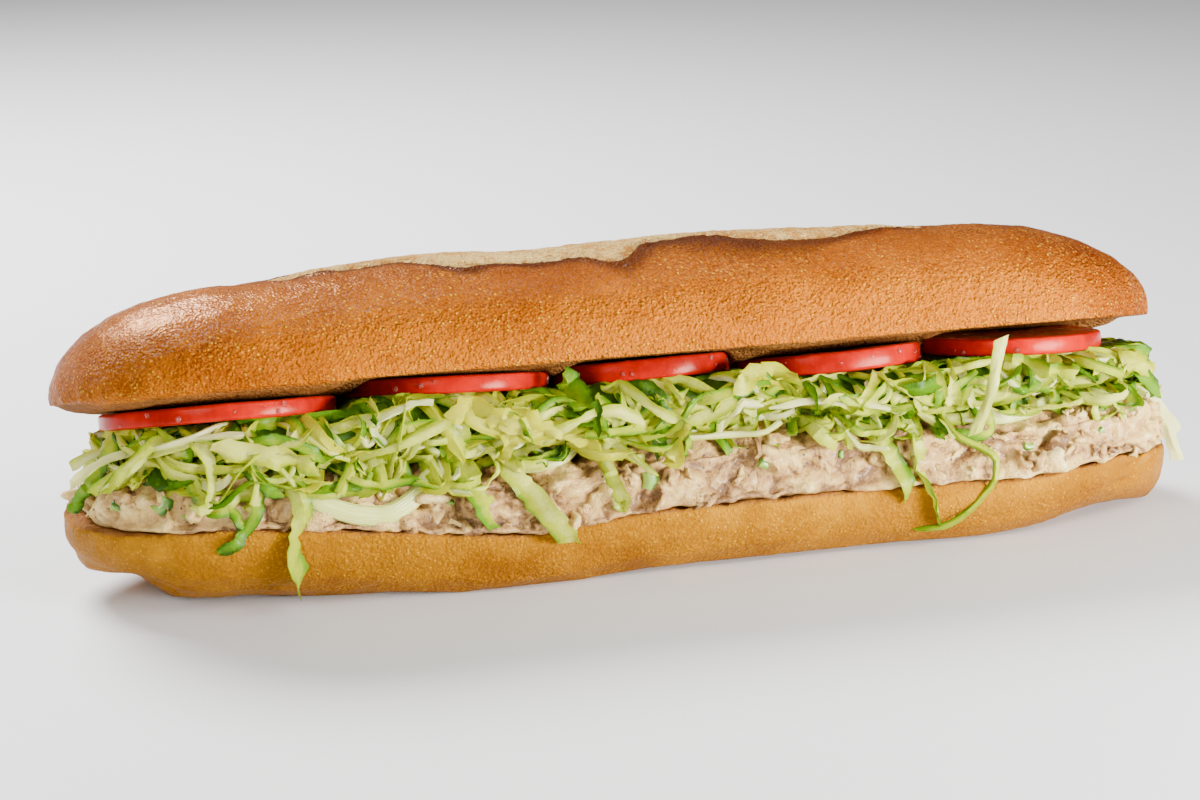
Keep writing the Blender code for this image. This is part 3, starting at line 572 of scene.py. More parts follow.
def tunaMaterial():
    made, wire, place = newMaterial("tunaInDressing")
    lump = valueOf(wire, "lump")
    cloud, fibre = noiseOf(place, 95, 4, 0.6), noiseOf(place, 420, 4, 0.65, 0.6)
    tone = lump * 0.85 + (cloud - 0.5) * 0.9 + (fibre - 0.5) * 1.0
    # the lowest tone gives the painted shade in the creases
    colour = tone.step(-0.12, 0.18).mix(tuna["shade"], tuna["pink"])
    colour = tone.step(0.14, 0.56).mix(colour, tuna["cream"])
    dressed = (noiseOf(place, 150, 3, 0.6) - 0.5) * 1.2 + lump
    colour = dressed.step(0.52, 1.00).mix(colour, tuna["dressing"])
    pepper = specksOf(place, 330, 0.05, 0.14) * noiseOf(place, 70, 2).step(0.47, 0.57)
    normal = bumpOf(fibre + noiseOf(place, 1100, 3, 0.7) * 0.7, 1.0, 0.0011)
    colour = pepper.mix(colour, tuna["pepper"])
    return surface(made, wire, baseColour=colour, roughness=0.36 + (fibre - 0.5) * 0.5, normal=normal, coat=0.20,
                   coatRoughness=0.18, specular=0.4, subsurface=0.20, subsurfaceRadius=(1.0, 0.6, 0.4),
                   subsurfaceScale=0.0010)


# Strips: leaf shreds, onion and fish flakes are all swept along a path

class Heap:
    # gathers many small closed shells into one mesh
    def __init__(self):
        self.points, self.faces, self.tones = [], [], []
        self.count = 0

    def sweep(self, path, outward, widths, thick, rise, tones, segments, slant):
        path, outward = np.asarray(path), np.asarray(outward)
        rows = len(path)
        along = np.gradient(path, axis=0)
        along /= np.linalg.norm(along, axis=1, keepdims=True) + 1e-12
        out = outward - along * np.sum(outward * along, axis=1, keepdims=True)
        out /= np.linalg.norm(out, axis=1, keepdims=True) + 1e-12
        across = np.cross(along, out)
        share = np.linspace(-0.5, 0.5, segments + 1)
        widths = np.asarray(widths)[:, None]
        middle = path[:, None, :] + across[:, None, :] * (widths * share)[:, :, None]
        middle = middle + out[:, None, :] * rise[:, :, None]
        for row, lean in zip((0, -1), slant):
            middle[row] += along[row] * (share * lean * widths[row])[:, None]
        half = np.broadcast_to(thick / 2 * (1 - 0.6 * np.abs(share)), (rows, segments + 1))
        upper = middle + out[:, None, :] * half[:, :, None]
        lower = middle - out[:, None, :] * half[:, :, None]
        self.points += [upper.reshape(-1, 3), lower.reshape(-1, 3)]
        size, base = rows * (segments + 1), self.count

        def at(i, j, side):
            return base + side * size + i * (segments + 1) + j

        for i in range(rows - 1):
            for j in range(segments):
                self.faces.append((at(i, j, 0), at(i, j + 1, 0), at(i + 1, j + 1, 0), at(i + 1, j, 0)))
                self.faces.append((at(i, j, 1), at(i + 1, j, 1), at(i + 1, j + 1, 1), at(i, j + 1, 1)))
            for j in (0, segments):
                self.faces.append((at(i, j, 0), at(i + 1, j, 0), at(i + 1, j, 1), at(i, j, 1)))
        for i in (0, rows - 1):
            for j in range(segments):
                self.faces.append((at(i, j, 0), at(i, j, 1), at(i, j + 1, 1), at(i, j + 1, 0)))
        tones = np.zeros((rows, segments + 1, 3)) if tones is None else tones
        self.tones += [tones.reshape(-1, 3)] * 2
        self.count += 2 * size

    def build(self, name, crispness):
        piece = meshPiece(name, self.points, self.faces)
        storeTone(piece, np.concatenate(self.tones))
        switchTo("EDIT")
        bpy.ops.mesh.select_all(action="SELECT")
        bpy.ops.mesh.normals_make_consistent(inside=False)
        switchTo("OBJECT")
        piece.data.set_sharp_from_angle(angle=math.radians(crispness))
        return piece


def smoothWay(corners, count):
    # evenly numbered points on a smooth curve through these corners, which are in millimetres
    corners = np.array(corners) / 1000
    ends = np.vstack([2 * corners[0] - corners[1], corners, 2 * corners[-1] - corners[-2]])
    found = []
    for t in np.linspace(0, len(corners) - 1, count):
        k = min(int(t), len(corners) - 2)
        u = t - k
        a, b, c, d = ends[k:k + 4]
        curve = 2 * b + (c - a) * u + (2 * a - 5 * b + 4 * c - d) * u * u + (3 * b - a - 3 * c + d) * u**3
        found.append(0.5 * curve)
    return np.array(found)


# The filling's outside, all the way round: how far it reaches at each place along the guide and each height

guide = {
    "ends": (-0.149, 0.154),
    "caps": (0.040, 0.044),
    "halfWidth": 0.036,
    "places": 720,
    "levels": 64,
    "bottom": 0.0005,
    "top": 0.064,
    "rayStart": 0.03,
    "rayLength": 0.042,
}


def makeGuide():
    # one loop in plan: from the middle of the back past the left end, the front and the right end
    turn = np.linspace(math.pi / 2, math.pi / 2 + math.tau, 2400)
    (left, right), (leftCap, rightCap) = guide["ends"], guide["caps"]
    across = np.cos(turn)
    x = np.where(across < 0, left + leftCap + leftCap * across, right - rightCap + rightCap * across)
    loop = np.column_stack([x, guide["halfWidth"] * np.sin(turn)])
    steps = np.concatenate([[0], np.cumsum(np.linalg.norm(np.diff(loop, axis=0), axis=1))])
    even = np.linspace(0, steps[-1], guide["places"] + 1)[:-1]
    plan = np.column_stack([np.interp(even, steps, loop[:, 0]), np.interp(even, steps, loop[:, 1])])
    tangent = np.roll(plan, -2, axis=0) - np.roll(plan, 2, axis=0)
    out = np.column_stack([tangent[:, 1], -tangent[:, 0]])
    return plan, out / np.linalg.norm(out, axis=1, keepdims=True), steps[-1]


class Wrap:
    # the filling's outer surface as reach[place along the guide, height]
    def __init__(self, pieces):
        self.plan, self.out, self.length = makeGuide()
        trees = [BVHTree.FromObject(piece, bpy.context.evaluated_depsgraph_get()) for piece in pieces]
        heights = np.linspace(guide["bottom"], guide["top"], guide["levels"])
        reach = np.full((guide["places"], guide["levels"]), guide["rayStart"] - guide["rayLength"])
        for i in range(guide["places"]):
            out = Vector((*self.out[i], 0))
            start = Vector((*self.plan[i], 0)) + out * guide["rayStart"]
            for k, z in enumerate(heights):
                start.z = z
                for tree in trees:
                    distance = tree.ray_cast(start, -out, guide["rayLength"])[3]
                    if distance is not None:
                        reach[i, k] = max(reach[i, k], guide["rayStart"] - distance)
        # each place takes the furthest reach of its neighbours too, so that what lies on it stays outside
        wide = np.max([np.roll(reach, step, axis=0) for step in (-2, -1, 0, 1, 2)], axis=0)
        tall = np.pad(wide, ((0, 0), (1, 1)), mode="edge")
        self.reach = np.max([tall[:, :-2], wide, tall[:, 2:]], axis=0)

    def at(self, s, z, out):
        # world point: s metres along the guide, z high, this far off the surface
        i = (s / self.length * guide["places"]) % guide["places"]
        low = int(i)
        t, high = i - low, (low + 1) % guide["places"]
        k = (z - guide["bottom"]) / (guide["top"] - guide["bottom"]) * (guide["levels"] - 1)
        k = min(max(k, 0), guide["levels"] - 1.001)
        n, u = int(k), k - int(k)
        fields = (self.reach, self.plan, self.out)
        rows, plan, normal = (each[low] * (1 - t) + each[high] * t for each in fields)
        spot = plan + normal * (rows[n] * (1 - u) + rows[n + 1] * u + out)
        return np.array([spot[0], spot[1], z]), np.array([normal[0], normal[1], 0.0])

    def fromX(self, x):
        # metres along the guide of the place on the front at this x
        fits = np.where(self.plan[:, 1] < -guide["halfWidth"] * 0.2, np.abs(self.plan[:, 0] - x), 9.0)
        return int(np.argmin(fits)) / guide["places"] * self.length

    def way(self, places, lifts):
        # world points and outward directions for a way over the front, given as x and z
        path, outward = [], []
        for (x, z), lift in zip(places, np.broadcast_to(lifts, len(places))):
            spot, normal = self.at(self.fromX(x), z, lift)
            path.append((x, spot[1], z))
            outward.append(normal)
        return np.array(path), np.array(outward)


# Tomato slices, in the lid's frame

slices = [
    {"x": -0.1115, "radius": 0.0298, "drop": 0.0034, "thick": 0.0042, "roll": 0.0, "pitch": 0.0},
    {"x": -0.0530, "radius": 0.0270, "drop": 0.0012, "thick": 0.0044, "roll": 2.0, "pitch": 0.0},
    {"x": -0.0006, "radius": 0.0248, "drop": 0.0008, "thick": 0.0052, "roll": -0.5, "pitch": 0.5},
    {"x": 0.0535, "radius": 0.0260, "drop": 0.0024, "thick": 0.0054, "roll": -1.5, "pitch": 1.5},
    {"x": 0.1070, "radius": 0.0258, "drop": 0.0016, "thick": 0.0046, "roll": 1.0, "pitch": 5.4},
]
sliceSetBack = 0.004

tomato = {
    "skin": (0.560, 0.006, 0.0004),
    "skinDeep": (0.270, 0.003, 0.0003),
    "flesh": (0.620, 0.024, 0.002),
    "fleshPale": (0.720, 0.080, 0.006),
    "gel": (0.580, 0.130, 0.008),
    "seed": (0.800, 0.520, 0.150),
    "shine": (1.000, 0.450, 0.300),
    "sides": 120,
    "softRim": 0.0010,
    "drops": 9,
    "dropSize": (0.00030, 0.00085),
    "rings": (0.0014, 0.0030, 0.0050, 0.0060, 0.0050),
    # the water's pink tint is painted: it stands in for the red slice seen through the beads
    "water": (0.95, 0.45, 0.38),
}


def sliceTilt(one, x, y):
    # how much further down than its middle the slice lies here
    along = (x - one["x"]) * math.tan(math.radians(one["roll"]))
    return along - (y + sliceSetBack) * math.tan(math.radians(one["pitch"]))


def sliceFrame(one):
    middle = Matrix.Translation((one["x"], -sliceSetBack, -one["drop"]))
    pitch = Matrix.Rotation(math.radians(one["pitch"]), 4, "X")
    return lidFrame @ middle @ (Matrix.Rotation(math.radians(one["roll"]), 4, "Y") @ pitch)


def sliceWobble(one, angle):
    # how far the rim leaves a circle, as a share of the radius
    return 0.012 * np.cos(5 * angle + one["x"] * 90) + 0.012 * np.cos(2 * angle + one["x"] * 90)


def makeSlice(number, one):
    bpy.ops.mesh.primitive_cylinder_add(vertices=tomato["sides"], radius=one["radius"], depth=one["thick"],
                                        location=(0, 0, -one["thick"] / 2))
    piece = bpy.context.active_object
    piece.name = piece.data.name = f"tomatoSlice{number}"
    bpy.ops.object.transform_apply(location=True, rotation=True, scale=True)
    switchTo("EDIT")
    bpy.ops.mesh.select_all(action="DESELECT")
    switchTo("OBJECT")
    for edge in piece.data.edges:
        low, high = (piece.data.vertices[i].co.z for i in edge.vertices)
        edge.select = abs(low - high) < 0.0001
    switchTo("EDIT")
    bpy.context.tool_settings.mesh_select_mode = (False, True, False)
    bpy.ops.mesh.bevel(offset=tomato["softRim"], segments=4, affect="EDGES")
    bpy.ops.mesh.select_all(action="DESELECT")
    switchTo("OBJECT")
    for face in piece.data.polygons:
        face.select = abs(face.normal.z) > 0.9 and len(face.vertices) > 20
    switchTo("EDIT")
    bpy.context.tool_settings.mesh_select_mode = (False, False, True)
    for inset in tomato["rings"]:
        bpy.ops.mesh.inset(thickness=inset, use_individual=True)
    bpy.ops.mesh.poke()
    switchTo("OBJECT")
    bpy.context.tool_settings.mesh_select_mode = (True, False, False)
    points = pointsOf(piece)
    angle = np.arctan2(points[:, 1], points[:, 0])
    share = np.clip(np.hypot(points[:, 0], points[:, 1]) / one["radius"], 0, 1)
    points[:, :2] *= (1 + share * sliceWobble(one, angle))[:, None]
    # the cut faces sink a little between the walls of the seed chambers
    hollow = smooth(0.86, 0.70, share) * smooth(0.18, 0.34, share)
    hollow = hollow * (0.5 + 0.5 * np.cos(6 * angle + one["x"] * 180)) ** 0.6
    points[:, 2] -= np.sign(points[:, 2] + one["thick"] / 2) * 0.0004 * hollow
    points[:, 2] += 0.00022 * noiseAt(points * (1, 1, 0), 0.014, number * 7)
    storeValue(piece, "radial", share)
    storeValue(piece, "chamber", hollow)
    setPoints(piece, moved(points, sliceFrame(one)))
    piece.data.shade_smooth()
    piece.data.set_sharp_from_angle(angle=math.radians(50))
    return finishPiece(piece, "tomato", tomatoLook, f"tomato_{number}")


def tomatoMaterial():
    made, wire, place = newMaterial("wetTomato")
    radial, chamber = valueOf(wire, "radial"), valueOf(wire, "chamber")
    cloud, fine = noiseOf(place, 90, 3, 0.55), noiseOf(place, 520, 3, 0.6)
    flesh = (cloud + (fine - 0.5) * 0.6).step(0.38, 0.66).mix(tomato["flesh"], tomato["fleshPale"])
    flesh = chamber.step(0.25, 0.60).mix(flesh, tomato["gel"])
    seeds = specksOf(place, 260, 0.20, 0.30) * chamber.step(0.35, 0.6)
    skin = cloud.step(0.30, 0.75).mix(tomato["skinDeep"], tomato["skin"])
    colour = radial.step(0.945, 0.975).mix(seeds.mix(flesh, tomato["seed"]), skin)
    return surface(made, wire, baseColour=colour, roughness=0.24 + (cloud - 0.5) * 0.12, coat=0.04,
                   normal=bumpOf(fine + cloud * 0.5, 0.20, 0.0004), coatRoughness=0.10, subsurface=0.10,
                   subsurfaceRadius=(1.0, 0.15, 0.05), subsurfaceScale=0.0010, ior=1.25, tint=tomato["shine"])


def makeDrops():
    # beads of water on the slices' rims and on the face of the right-hand slice
    draw = random.Random(5)
    bpy.ops.mesh.primitive_uv_sphere_add(segments=12, ring_count=7, radius=1.0)
    pattern, faces = takePattern()
    beads = []
    for one in slices:
        for _ in range(tomato["drops"]):
            angle = math.radians(draw.uniform(200, 340))
            size = draw.uniform(*tomato["dropSize"])
            outward = np.array([math.cos(angle), math.sin(angle), 0.0])
            middle = outward * (one["radius"] * (1 + sliceWobble(one, angle)))
            middle[2] = -one["thick"] * draw.uniform(0.2, 0.8)
            if one is slices[-1] and draw.random() < 0.5:
                middle = outward * one["radius"] * draw.uniform(0.80, 0.95)
                outward = np.array([0.0, 0.0, 1.0])
            shape = pattern * size
            shape -= outward * (shape @ outward)[:, None] * 0.35
            beads.append(moved(shape + middle, sliceFrame(one)))
    # the beads' pink tint is painted: it stands in for the red slice seen through them
    made, wire, _ = newMaterial("water")
    look = surface(made, wire, baseColour=tomato["water"], roughness=0.05, ior=1.33, transmission=0.9)
    return finishPiece(copiesPiece("waterBeads", beads, faces), "tomato", look)


# Lettuce

lettuce = {
    "white": (0.860, 0.890, 0.220),
    "pale": (0.590, 0.660, 0.012),
    "green": (0.160, 0.370, 0.001),
    "yellow": (0.740, 0.690, 0.003),
    "rib": (0.900, 0.900, 0.420),
    "dark": (0.045, 0.120, 0.003),
    "thick": 0.00028,
    "ribThick": 0.0010,
    "stripThick": 0.0006,
    "rows": 26,
    "highest": 0.0585,
    "furthest": 0.0052,
    "backEdge": 0.0305,
}
heart = {
    "ends": (-0.140, 0.145),
    "caps": (0.034, 0.034),
    "halfWidth": 0.0345,
    "cuts": 60,
    "voxel": 0.0018,
}
# scattered shreds: how many, the ranges of length, of distance off the heap and of width, how far each may bend,
# and how much greener it is as painted shade, for the shreds that lie underneath
shredSorts = {
    "close": (105, (0.022, 0.044), (0.0002, 0.0012), (0.0020, 0.0038), 1.2, 0.28),
    "loose": (62, (0.024, 0.050), (0.0016, 0.0040), (0.0018, 0.0036), 1.6, 0.0),
    "curled": (46, (0.014, 0.028), (0.0010, 0.0036), (0.0014, 0.0030), 4.6, 0.0),
    "draped": (62, (0.013, 0.026), (0.0010, 0.0034), (0.0018, 0.0038), 1.6, 0.0),
    "behind": (84, (0.018, 0.038), (0.0002, 0.0022), (0.0022, 0.0044), 1.6, 0.0),
}
# the tables below are in millimetres. First the heap's lower edge on the front, as x and z
heapEdge = np.array([
    (-150, 37), (-139, 40), (-122, 35), (-100, 33), (-89, 36), (-70, 34), (-53, 31), (-29, 36),
    (-2, 33), (19, 39), (36, 40), (53, 36), (76, 34), (94, 36), (108, 38), (123, 39), (140, 37),
]) / 1000
# long shreds that hang over the front: the way as x and z, the width, and how green it is at both ends
hanging = [
    ([(-94, 46), (-100, 38), (-98.5, 28), (-101, 19), (-98, 7.5)], 5.6, 0.15, 0.6),
    ([(-112, 43), (-109, 33), (-113, 24), (-119, 19.5)], 3.4, 0.55, 0.95),
    ([(-126, 41), (-122, 32), (-116, 30), (-113.5, 25.5)], 3.6, 0.4, 0.7),
    ([(-60, 46), (-57, 38), (-54, 29), (-50, 21.5)], 7.5, 0.3, 0.45),
    ([(-46, 43), (-44, 34), (-38, 25), (-29.5, 13.5)], 5.2, 0.1, 0.35),
    ([(-24, 42), (-19.5, 35), (-17, 27), (-15, 20.5)], 3.4, 0.15, 0.3),
    ([(45, 46), (53, 37), (59, 28), (63.5, 16.5)], 4.4, 0.2, 0.6),
    ([(60, 47), (64, 36), (67, 23), (74.5, 6.5)], 4.4, 0.1, 0.45),
    ([(74, 44), (78, 32), (87, 26), (86.5, 16.5), (77, 8.5), (68, 6.2)], 2.1, 0.45, 0.65),
    ([(20, 45), (28, 40.5), (36, 38.5), (43, 33.5)], 5.2, 0.05, 0.4),
    ([(104, 46), (110, 40), (121, 39), (128, 34)], 4.8, 0.05, 0.25),
    ([(-140, 44), (-144, 36), (-147, 30), (-149, 24.5)], 3.6, 0.6, 0.9),
    ([(-80, 47), (-83, 41), (-79, 36), (-84, 31)], 4, 0.05, 0.55),
    ([(5, 47), (1, 42), (6, 37), (2, 32)], 3.8, 0.15, 0.75),
]
# broader pieces of leaf: the way as x and z, the width, how green they are at both ends, and how yellow
leafPieces = [
    ([(-60, 50), (-52, 49), (-44, 46.5), (-37, 46)], 6.2, (0, 0.25), 1),
    ([(-50, 48), (-46.5, 44), (-45, 39), (-45.5, 34.5)], 3.6, (0, 0.15), 0.9),
    ([(-47, 46.5), (-38, 44), (-30, 42.5), (-20, 37)], 4.6, (0.05, 0.3), 0.8),
    ([(-27.5, 54.5), (-25, 49), (-23.5, 42.5)], 6.6, (0.65, 0.8), 0),
    ([(-20, 50), (-21.5, 45.5), (-19, 41)], 4, (0.55, 0.8), 0),
    ([(-120, 45.5), (-111, 44), (-102, 42.5), (-95, 40)], 5.6, (0, 0.3), 0.3),
    ([(15, 50), (25, 51.5), (35, 49)], 5, (0.15, 0.45), 0.6),
    ([(94, 49), (103, 47), (112, 46.5)], 5, (0.3, 0.6), 0.1),
    ([(128, 47), (137, 44), (144, 39)], 5.4, (0.1, 0.35), 0.5),
]
# shreds that stick out at the ends, and the straight strip in front of the right-hand slice: the way as x, y, z,
# the width, how green they are at both ends, how much rib they have, and how blunt they are
endShreds = [
    ([(-134, -18, 42), (-142, -20, 41), (-148, -19, 37.5), (-151, -16, 34)], 2.2, (0, 0.1), 1, 0.3),
    ([(-132, -24, 44), (-139, -28, 40), (-145, -28, 37), (-148, -26, 34.5)], 3, (0, 0.4), 0.2, 0.3),
    ([(-134, -10, 40), (-143, -8, 39.5), (-149, -6, 36)], 2.6, (0.1, 0.3), 0.8, 0.3),
    ([(-130, -26, 47), (-138, -30, 43), (-142, -30, 39), (-145.5, -29, 35)], 3, (0.2, 0.5), 0, 0.3),
    ([(138, -10, 38), (145.5, -10, 33.5), (150, -10, 29), (155, -10, 24), (158.5, -10, 19.4)],
     3, (0, 0.1), 1.2, 0.5),
    ([(140, -12, 36), (148.5, -12, 30), (153.5, -11, 23.5), (156.5, -10, 16.5), (159, -10, 10.7)],
     3.6, (0, 0), 1.4, 0.8),
    ([(128, -24, 46), (134, -26, 43.5), (139.5, -25, 39.5), (145.7, -22, 33.3)], 3.6, (0.6, 0.9), 0, 0.3),
    ([(89, -38.5, 57.5), (87, -40, 50), (84.6, -40.5, 41), (82, -38.5, 32)], 3.2, (0, 0.15), 0.45, 0.85),
]


def slicesDepth(x, y):
    # how far under the lid's cut the nearest slice reaches
    one = min(slices, key=lambda each: abs(each["x"] - x))
    return one["drop"] + one["thick"] + sliceTilt(one, x, y)


def lidHeight(y, drop):
    return roll["lidLevel"] - y * math.tan(roll["lidTilt"]) - drop / math.cos(roll["lidTilt"])


def ceiling(x, y, rise=0.0):
    # the highest that a shred may lie here: under the slices, or in front of their rims
    under = lidHeight(y, slicesDepth(x, y)) - 0.0008
    return under + smooth(-0.0345, -0.0385, y) * (0.0022 + rise)


def edgeAt(x):
    return np.interp(x, heapEdge[:, 0], heapEdge[:, 1])


def makeCore():
    # the leafy mass that the shreds lie on
    bpy.ops.mesh.primitive_cube_add(size=1.0, location=(0, 0, 0))
    piece = bpy.context.active_object
    piece.name = piece.data.name = "lettuceHeart"
    switchTo("EDIT")
    bpy.ops.mesh.subdivide(number_cuts=heart["cuts"])
    switchTo("OBJECT")
    points = pointsOf(piece) * 2
    (left, right), halfWidth = heart["ends"], heart["halfWidth"]
    x = (left + right) / 2 + points[:, 0] * (right - left) / 2
    cap = roundEnd(x, (left - 0.001, right + 0.001), heart["caps"])
    y = points[:, 1] * halfWidth * np.maximum(cap, 0.12)
    # it stays clear of the slices' rims at the front and touches them behind, so that no light shows through
    behind = smooth(-0.024, -0.012, y)
    depth = [min(slicesDepth(a + side * c, b) for side in (-1, 0, 1)) for a, b, c in zip(x, y, 0.004 * behind)]
    top = lidHeight(y, np.array(depth)) - 0.0014 + 0.0018 * behind
    edge = edgeAt(x) + 0.0025
    low = np.where(y < 0, edge, edge - (y / halfWidth) * 0.010) + 0.002 * (1 - np.abs(points[:, 1]))
    low = np.minimum(low, top - 0.004)
    z = low + (top - low) * (points[:, 2] + 1) / 2
    bulge = np.sqrt(np.maximum(0.0, 1 - points[:, 2] ** 2 * 0.5))
    setPoints(piece, np.column_stack([x, y * bulge, z]))
    applyModifier(piece, "REMESH", mode="VOXEL", voxel_size=heart["voxel"], adaptivity=0.0)
    points, normals = pointsOf(piece), normalsOf(piece)
    crumple = 0.0014 * noiseAt(points, 0.0065, 41) + 0.0009 * noiseAt(points, 0.003, 43) - 0.0008
    points += normals * crumple[:, None]
    setPoints(piece, points)
    # the heart is dark green, as painted shade in the gaps between the shreds
    storeTone(piece, np.outer(1.15 + 0.5 * noiseAt(points, 0.008, 47), (1, 0, 0)))
    piece.data.shade_smooth()
    return finishPiece(piece, "lettuce", lettuceLook, "lettuce")


def leafTones(rows, segments, greens, rib, yellow, draw):
    # r: how green, g: how much rib, b: how yellow, for each point of a shred
    along = np.linspace(0, 1, rows)[:, None]
    across = np.linspace(-1, 1, segments + 1)[None, :]
    side = draw.choice((-1, 1))
    tones = np.zeros((rows, segments + 1, 3))
    green = greens[0] + (greens[1] - greens[0]) * along**1.5
    tones[..., 0] = np.clip(green + 0.32 * across**2 + 0.20 * side * across - 0.09, 0, 1.1)
    tones[..., 1] = np.clip(rib - np.abs(across - side * 0.6) * 0.4 + draw.uniform(-0.1, 0.1), 0, 1)
    tones[..., 2] = yellow
    return tones


def addShred(heap, path, outward, width, greens, draw, rib=0.0, yellow=0.0, turns=None,
             thick=lettuce["thick"], ragged=0.06, blunt=0.3, frill=0.10):
    rows, segments = len(path), 4
    along = np.linspace(0, 1, rows)
    tangent = np.gradient(path, axis=0)
    tangent /= np.linalg.norm(tangent, axis=1, keepdims=True) + 1e-12
    if turns is None:
        turns = draw.uniform(-0.3, 0.3) + draw.uniform(-0.6, 0.6) * along
        turns += 0.35 * np.sin(9 * along + draw.uniform(0, 6))
    facing = [Matrix.Rotation(turn, 3, Vector(a)) @ Vector(b) for turn, a, b in zip(turns, tangent, outward)]
    phase, beat = draw.uniform(0, 6.28), draw.uniform(4.0, 8.0)
    taper = np.minimum(1, np.minimum(along * 9, (1 - along) * 6) + draw.uniform(blunt, 0.9))
    widths = width * taper * (1 + 0.10 * np.sin(beat * along + phase))
    widths *= np.array([1 + draw.gauss(0, ragged) for _ in range(rows)])
    across = np.linspace(-1, 1, segments + 1)[None, :]
    # a fold down the middle that comes and goes, wavy edges, and small crumples
    fold = draw.uniform(0.05, 0.40) * np.cos(beat * 0.5 * along + phase)[:, None] * (np.abs(across) - 0.5)
    waves = frill * np.sin(beat * 2.6 * along[:, None] + phase + 1.5 * across) * np.abs(across)
    crumple = [[draw.gauss(0, 0.012 + ragged * 0.4) for _ in range(segments + 1)] for _ in range(rows)]
    tones = leafTones(rows, segments, greens, rib, yellow, draw)
    heap.sweep(path, facing, widths, thick, width * (fold + waves + np.array(crumple)), tones, segments,
               (draw.uniform(-0.9, 0.9), draw.uniform(-1.2, 1.2)))


def wanderingPath(wrap, s, z, length, heading, bend, out, draw, low, rise):
    # a way over the heap that runs even for a while and then folds: places, outward directions and turns
    rows = lettuce["rows"]
    folds = {draw.randrange(4, rows - 4): draw.gauss(0, 0.60) for _ in range(draw.choice((1, 1, 2, 3)))}
    step, angle, drift, turn = length / (rows - 1), heading - bend / 2, 0.0, draw.uniform(-0.7, 0.7)
    tucked = draw.random() < 0.5
    path, outward, turns = [], [], []
    for i in range(rows):
        t = i / (rows - 1)
        tuck = max(0.0, 1 - t * 7) + (max(0.0, 1 - (1 - t) * 7) if tucked else 0.0)
        spot, normal = wrap.at(s, z, out - 0.0034 * tuck)
        spot[2] = min(spot[2], ceiling(spot[0], spot[1], rise) - 0.0006 * abs(math.sin(i * 1.3 + s * 700)))
        path.append(spot)
        outward.append(normal + np.array([0, 0, 0.25]))
        turns.append(turn)
        if i in folds:
            angle += folds[i]
            drift = draw.uniform(-0.40, 0.40)
            turn += draw.gauss(0, 0.8)
        s += math.cos(angle) * step
        z = min(max(z + math.sin(angle) * step, low), lettuce["highest"])
        out = min(max(out + drift * step, 0.0001), lettuce["furthest"])
        angle += bend / (rows - 1)
        turn += draw.gauss(0, 0.06)
    turns = np.convolve(np.pad(turns, 2, mode="edge"), (0.1, 0.2, 0.4, 0.2, 0.1), mode="valid")
    path = np.array(path)
    path[1:-1] = path[1:-1] * 0.5 + (path[:-2] + path[2:]) * 0.25
    return path, np.array(outward), turns


def leafKind(draw):
    # greenness at both ends, rib, yellow, how much wider it is, and how thick
    kind, thick = draw.random(), lettuce["thick"]
    if kind < 0.40:
        return (draw.uniform(0.00, 0.15), draw.uniform(0.10, 0.45)), 0.0, draw.uniform(0, 0.35), 1.0, thick
    if kind < 0.66:
        return (draw.uniform(0.05, 0.40), draw.uniform(0.45, 0.95)), 0.0, 0.0, 1.0, thick
    if kind < 0.78:
        return (draw.uniform(0.50, 0.85), draw.uniform(0.60, 1.00)), 0.0, 0.0, 1.05, thick
    if kind < 0.93:
        return (0.0, draw.uniform(0.0, 0.20)), draw.uniform(0.7, 1.1), 0.05, 0.70, lettuce["ribThick"]
    return (draw.uniform(0.00, 0.20), 0.2), 0.0, draw.uniform(0.5, 1.0), 1.35, thick


def scatterShreds(heap, wrap, draw, sort, start, stop):
    count, lengths, offsets, breadths, most, paintedShade = shredSorts[sort]
    for number in range(count):
        s = start + (stop - start) * (number + draw.uniform(0.05, 0.95)) / count
        spot, _ = wrap.at(s, 0.04, 0.0)
        low = edgeAt(spot[0]) + 0.0002 if spot[1] < 0 else lettuce["backEdge"]
        rise = draw.choice((0.0, 0.0, 0.0, 0.0035)) if sort in ("loose", "curled") else 0.0
        high = ceiling(spot[0], spot[1]) - 0.0006 + rise
        greens, rib, yellow, breadth, thick = leafKind(draw)
        greens = [one + paintedShade for one in greens]
        length, width = draw.uniform(*lengths), draw.uniform(*breadths) * breadth
        bend, out = draw.uniform(-1, 1) * most, draw.uniform(*offsets)
        if sort == "draped":
            heading = -math.pi / 2 + draw.gauss(0, 0.60)
            z = draw.uniform(max(low + 0.003, high - 0.006), high)
            low = draw.uniform(low - 0.0070, low - 0.0010)
        else:
            heading = draw.choice((0, math.pi)) + draw.gauss(0, 0.50)
            z = max(draw.uniform(low, max(low + 0.001, high)), low + 0.35 * length * abs(math.sin(heading)))
            z = min(z, max(low, high)) - math.sin(heading) * length / 2
            s, low = s - math.cos(heading) * length / 2, low - 0.0015
        path, outward, turns = wanderingPath(wrap, s, z, length, heading, bend, out, draw, low, rise)
        addShred(heap, path, outward, width, greens, draw, rib, yellow, turns, thick)


def addHanging(heap, wrap, draw):
    number = np.arange(22)
    lifts = 0.0013 + 0.0009 * np.sin(number * 0.8) - 0.003 * np.maximum(0.0, 1 - number / 3)
    late = smooth(0.2, 0.9, number / 21)
    for way, width, *greens in hanging:
        path, outward = wrap.way(smoothWay(way, 22), lifts)
        path[:, 0] += [draw.gauss(0, 0.00025) for _ in path]
        turns = draw.uniform(-0.3, 0.3) + draw.choice((-1, 1)) * draw.uniform(0.3, 1.4) * late
        addShred(heap, path, outward, width / 1000, greens, draw, turns=turns)


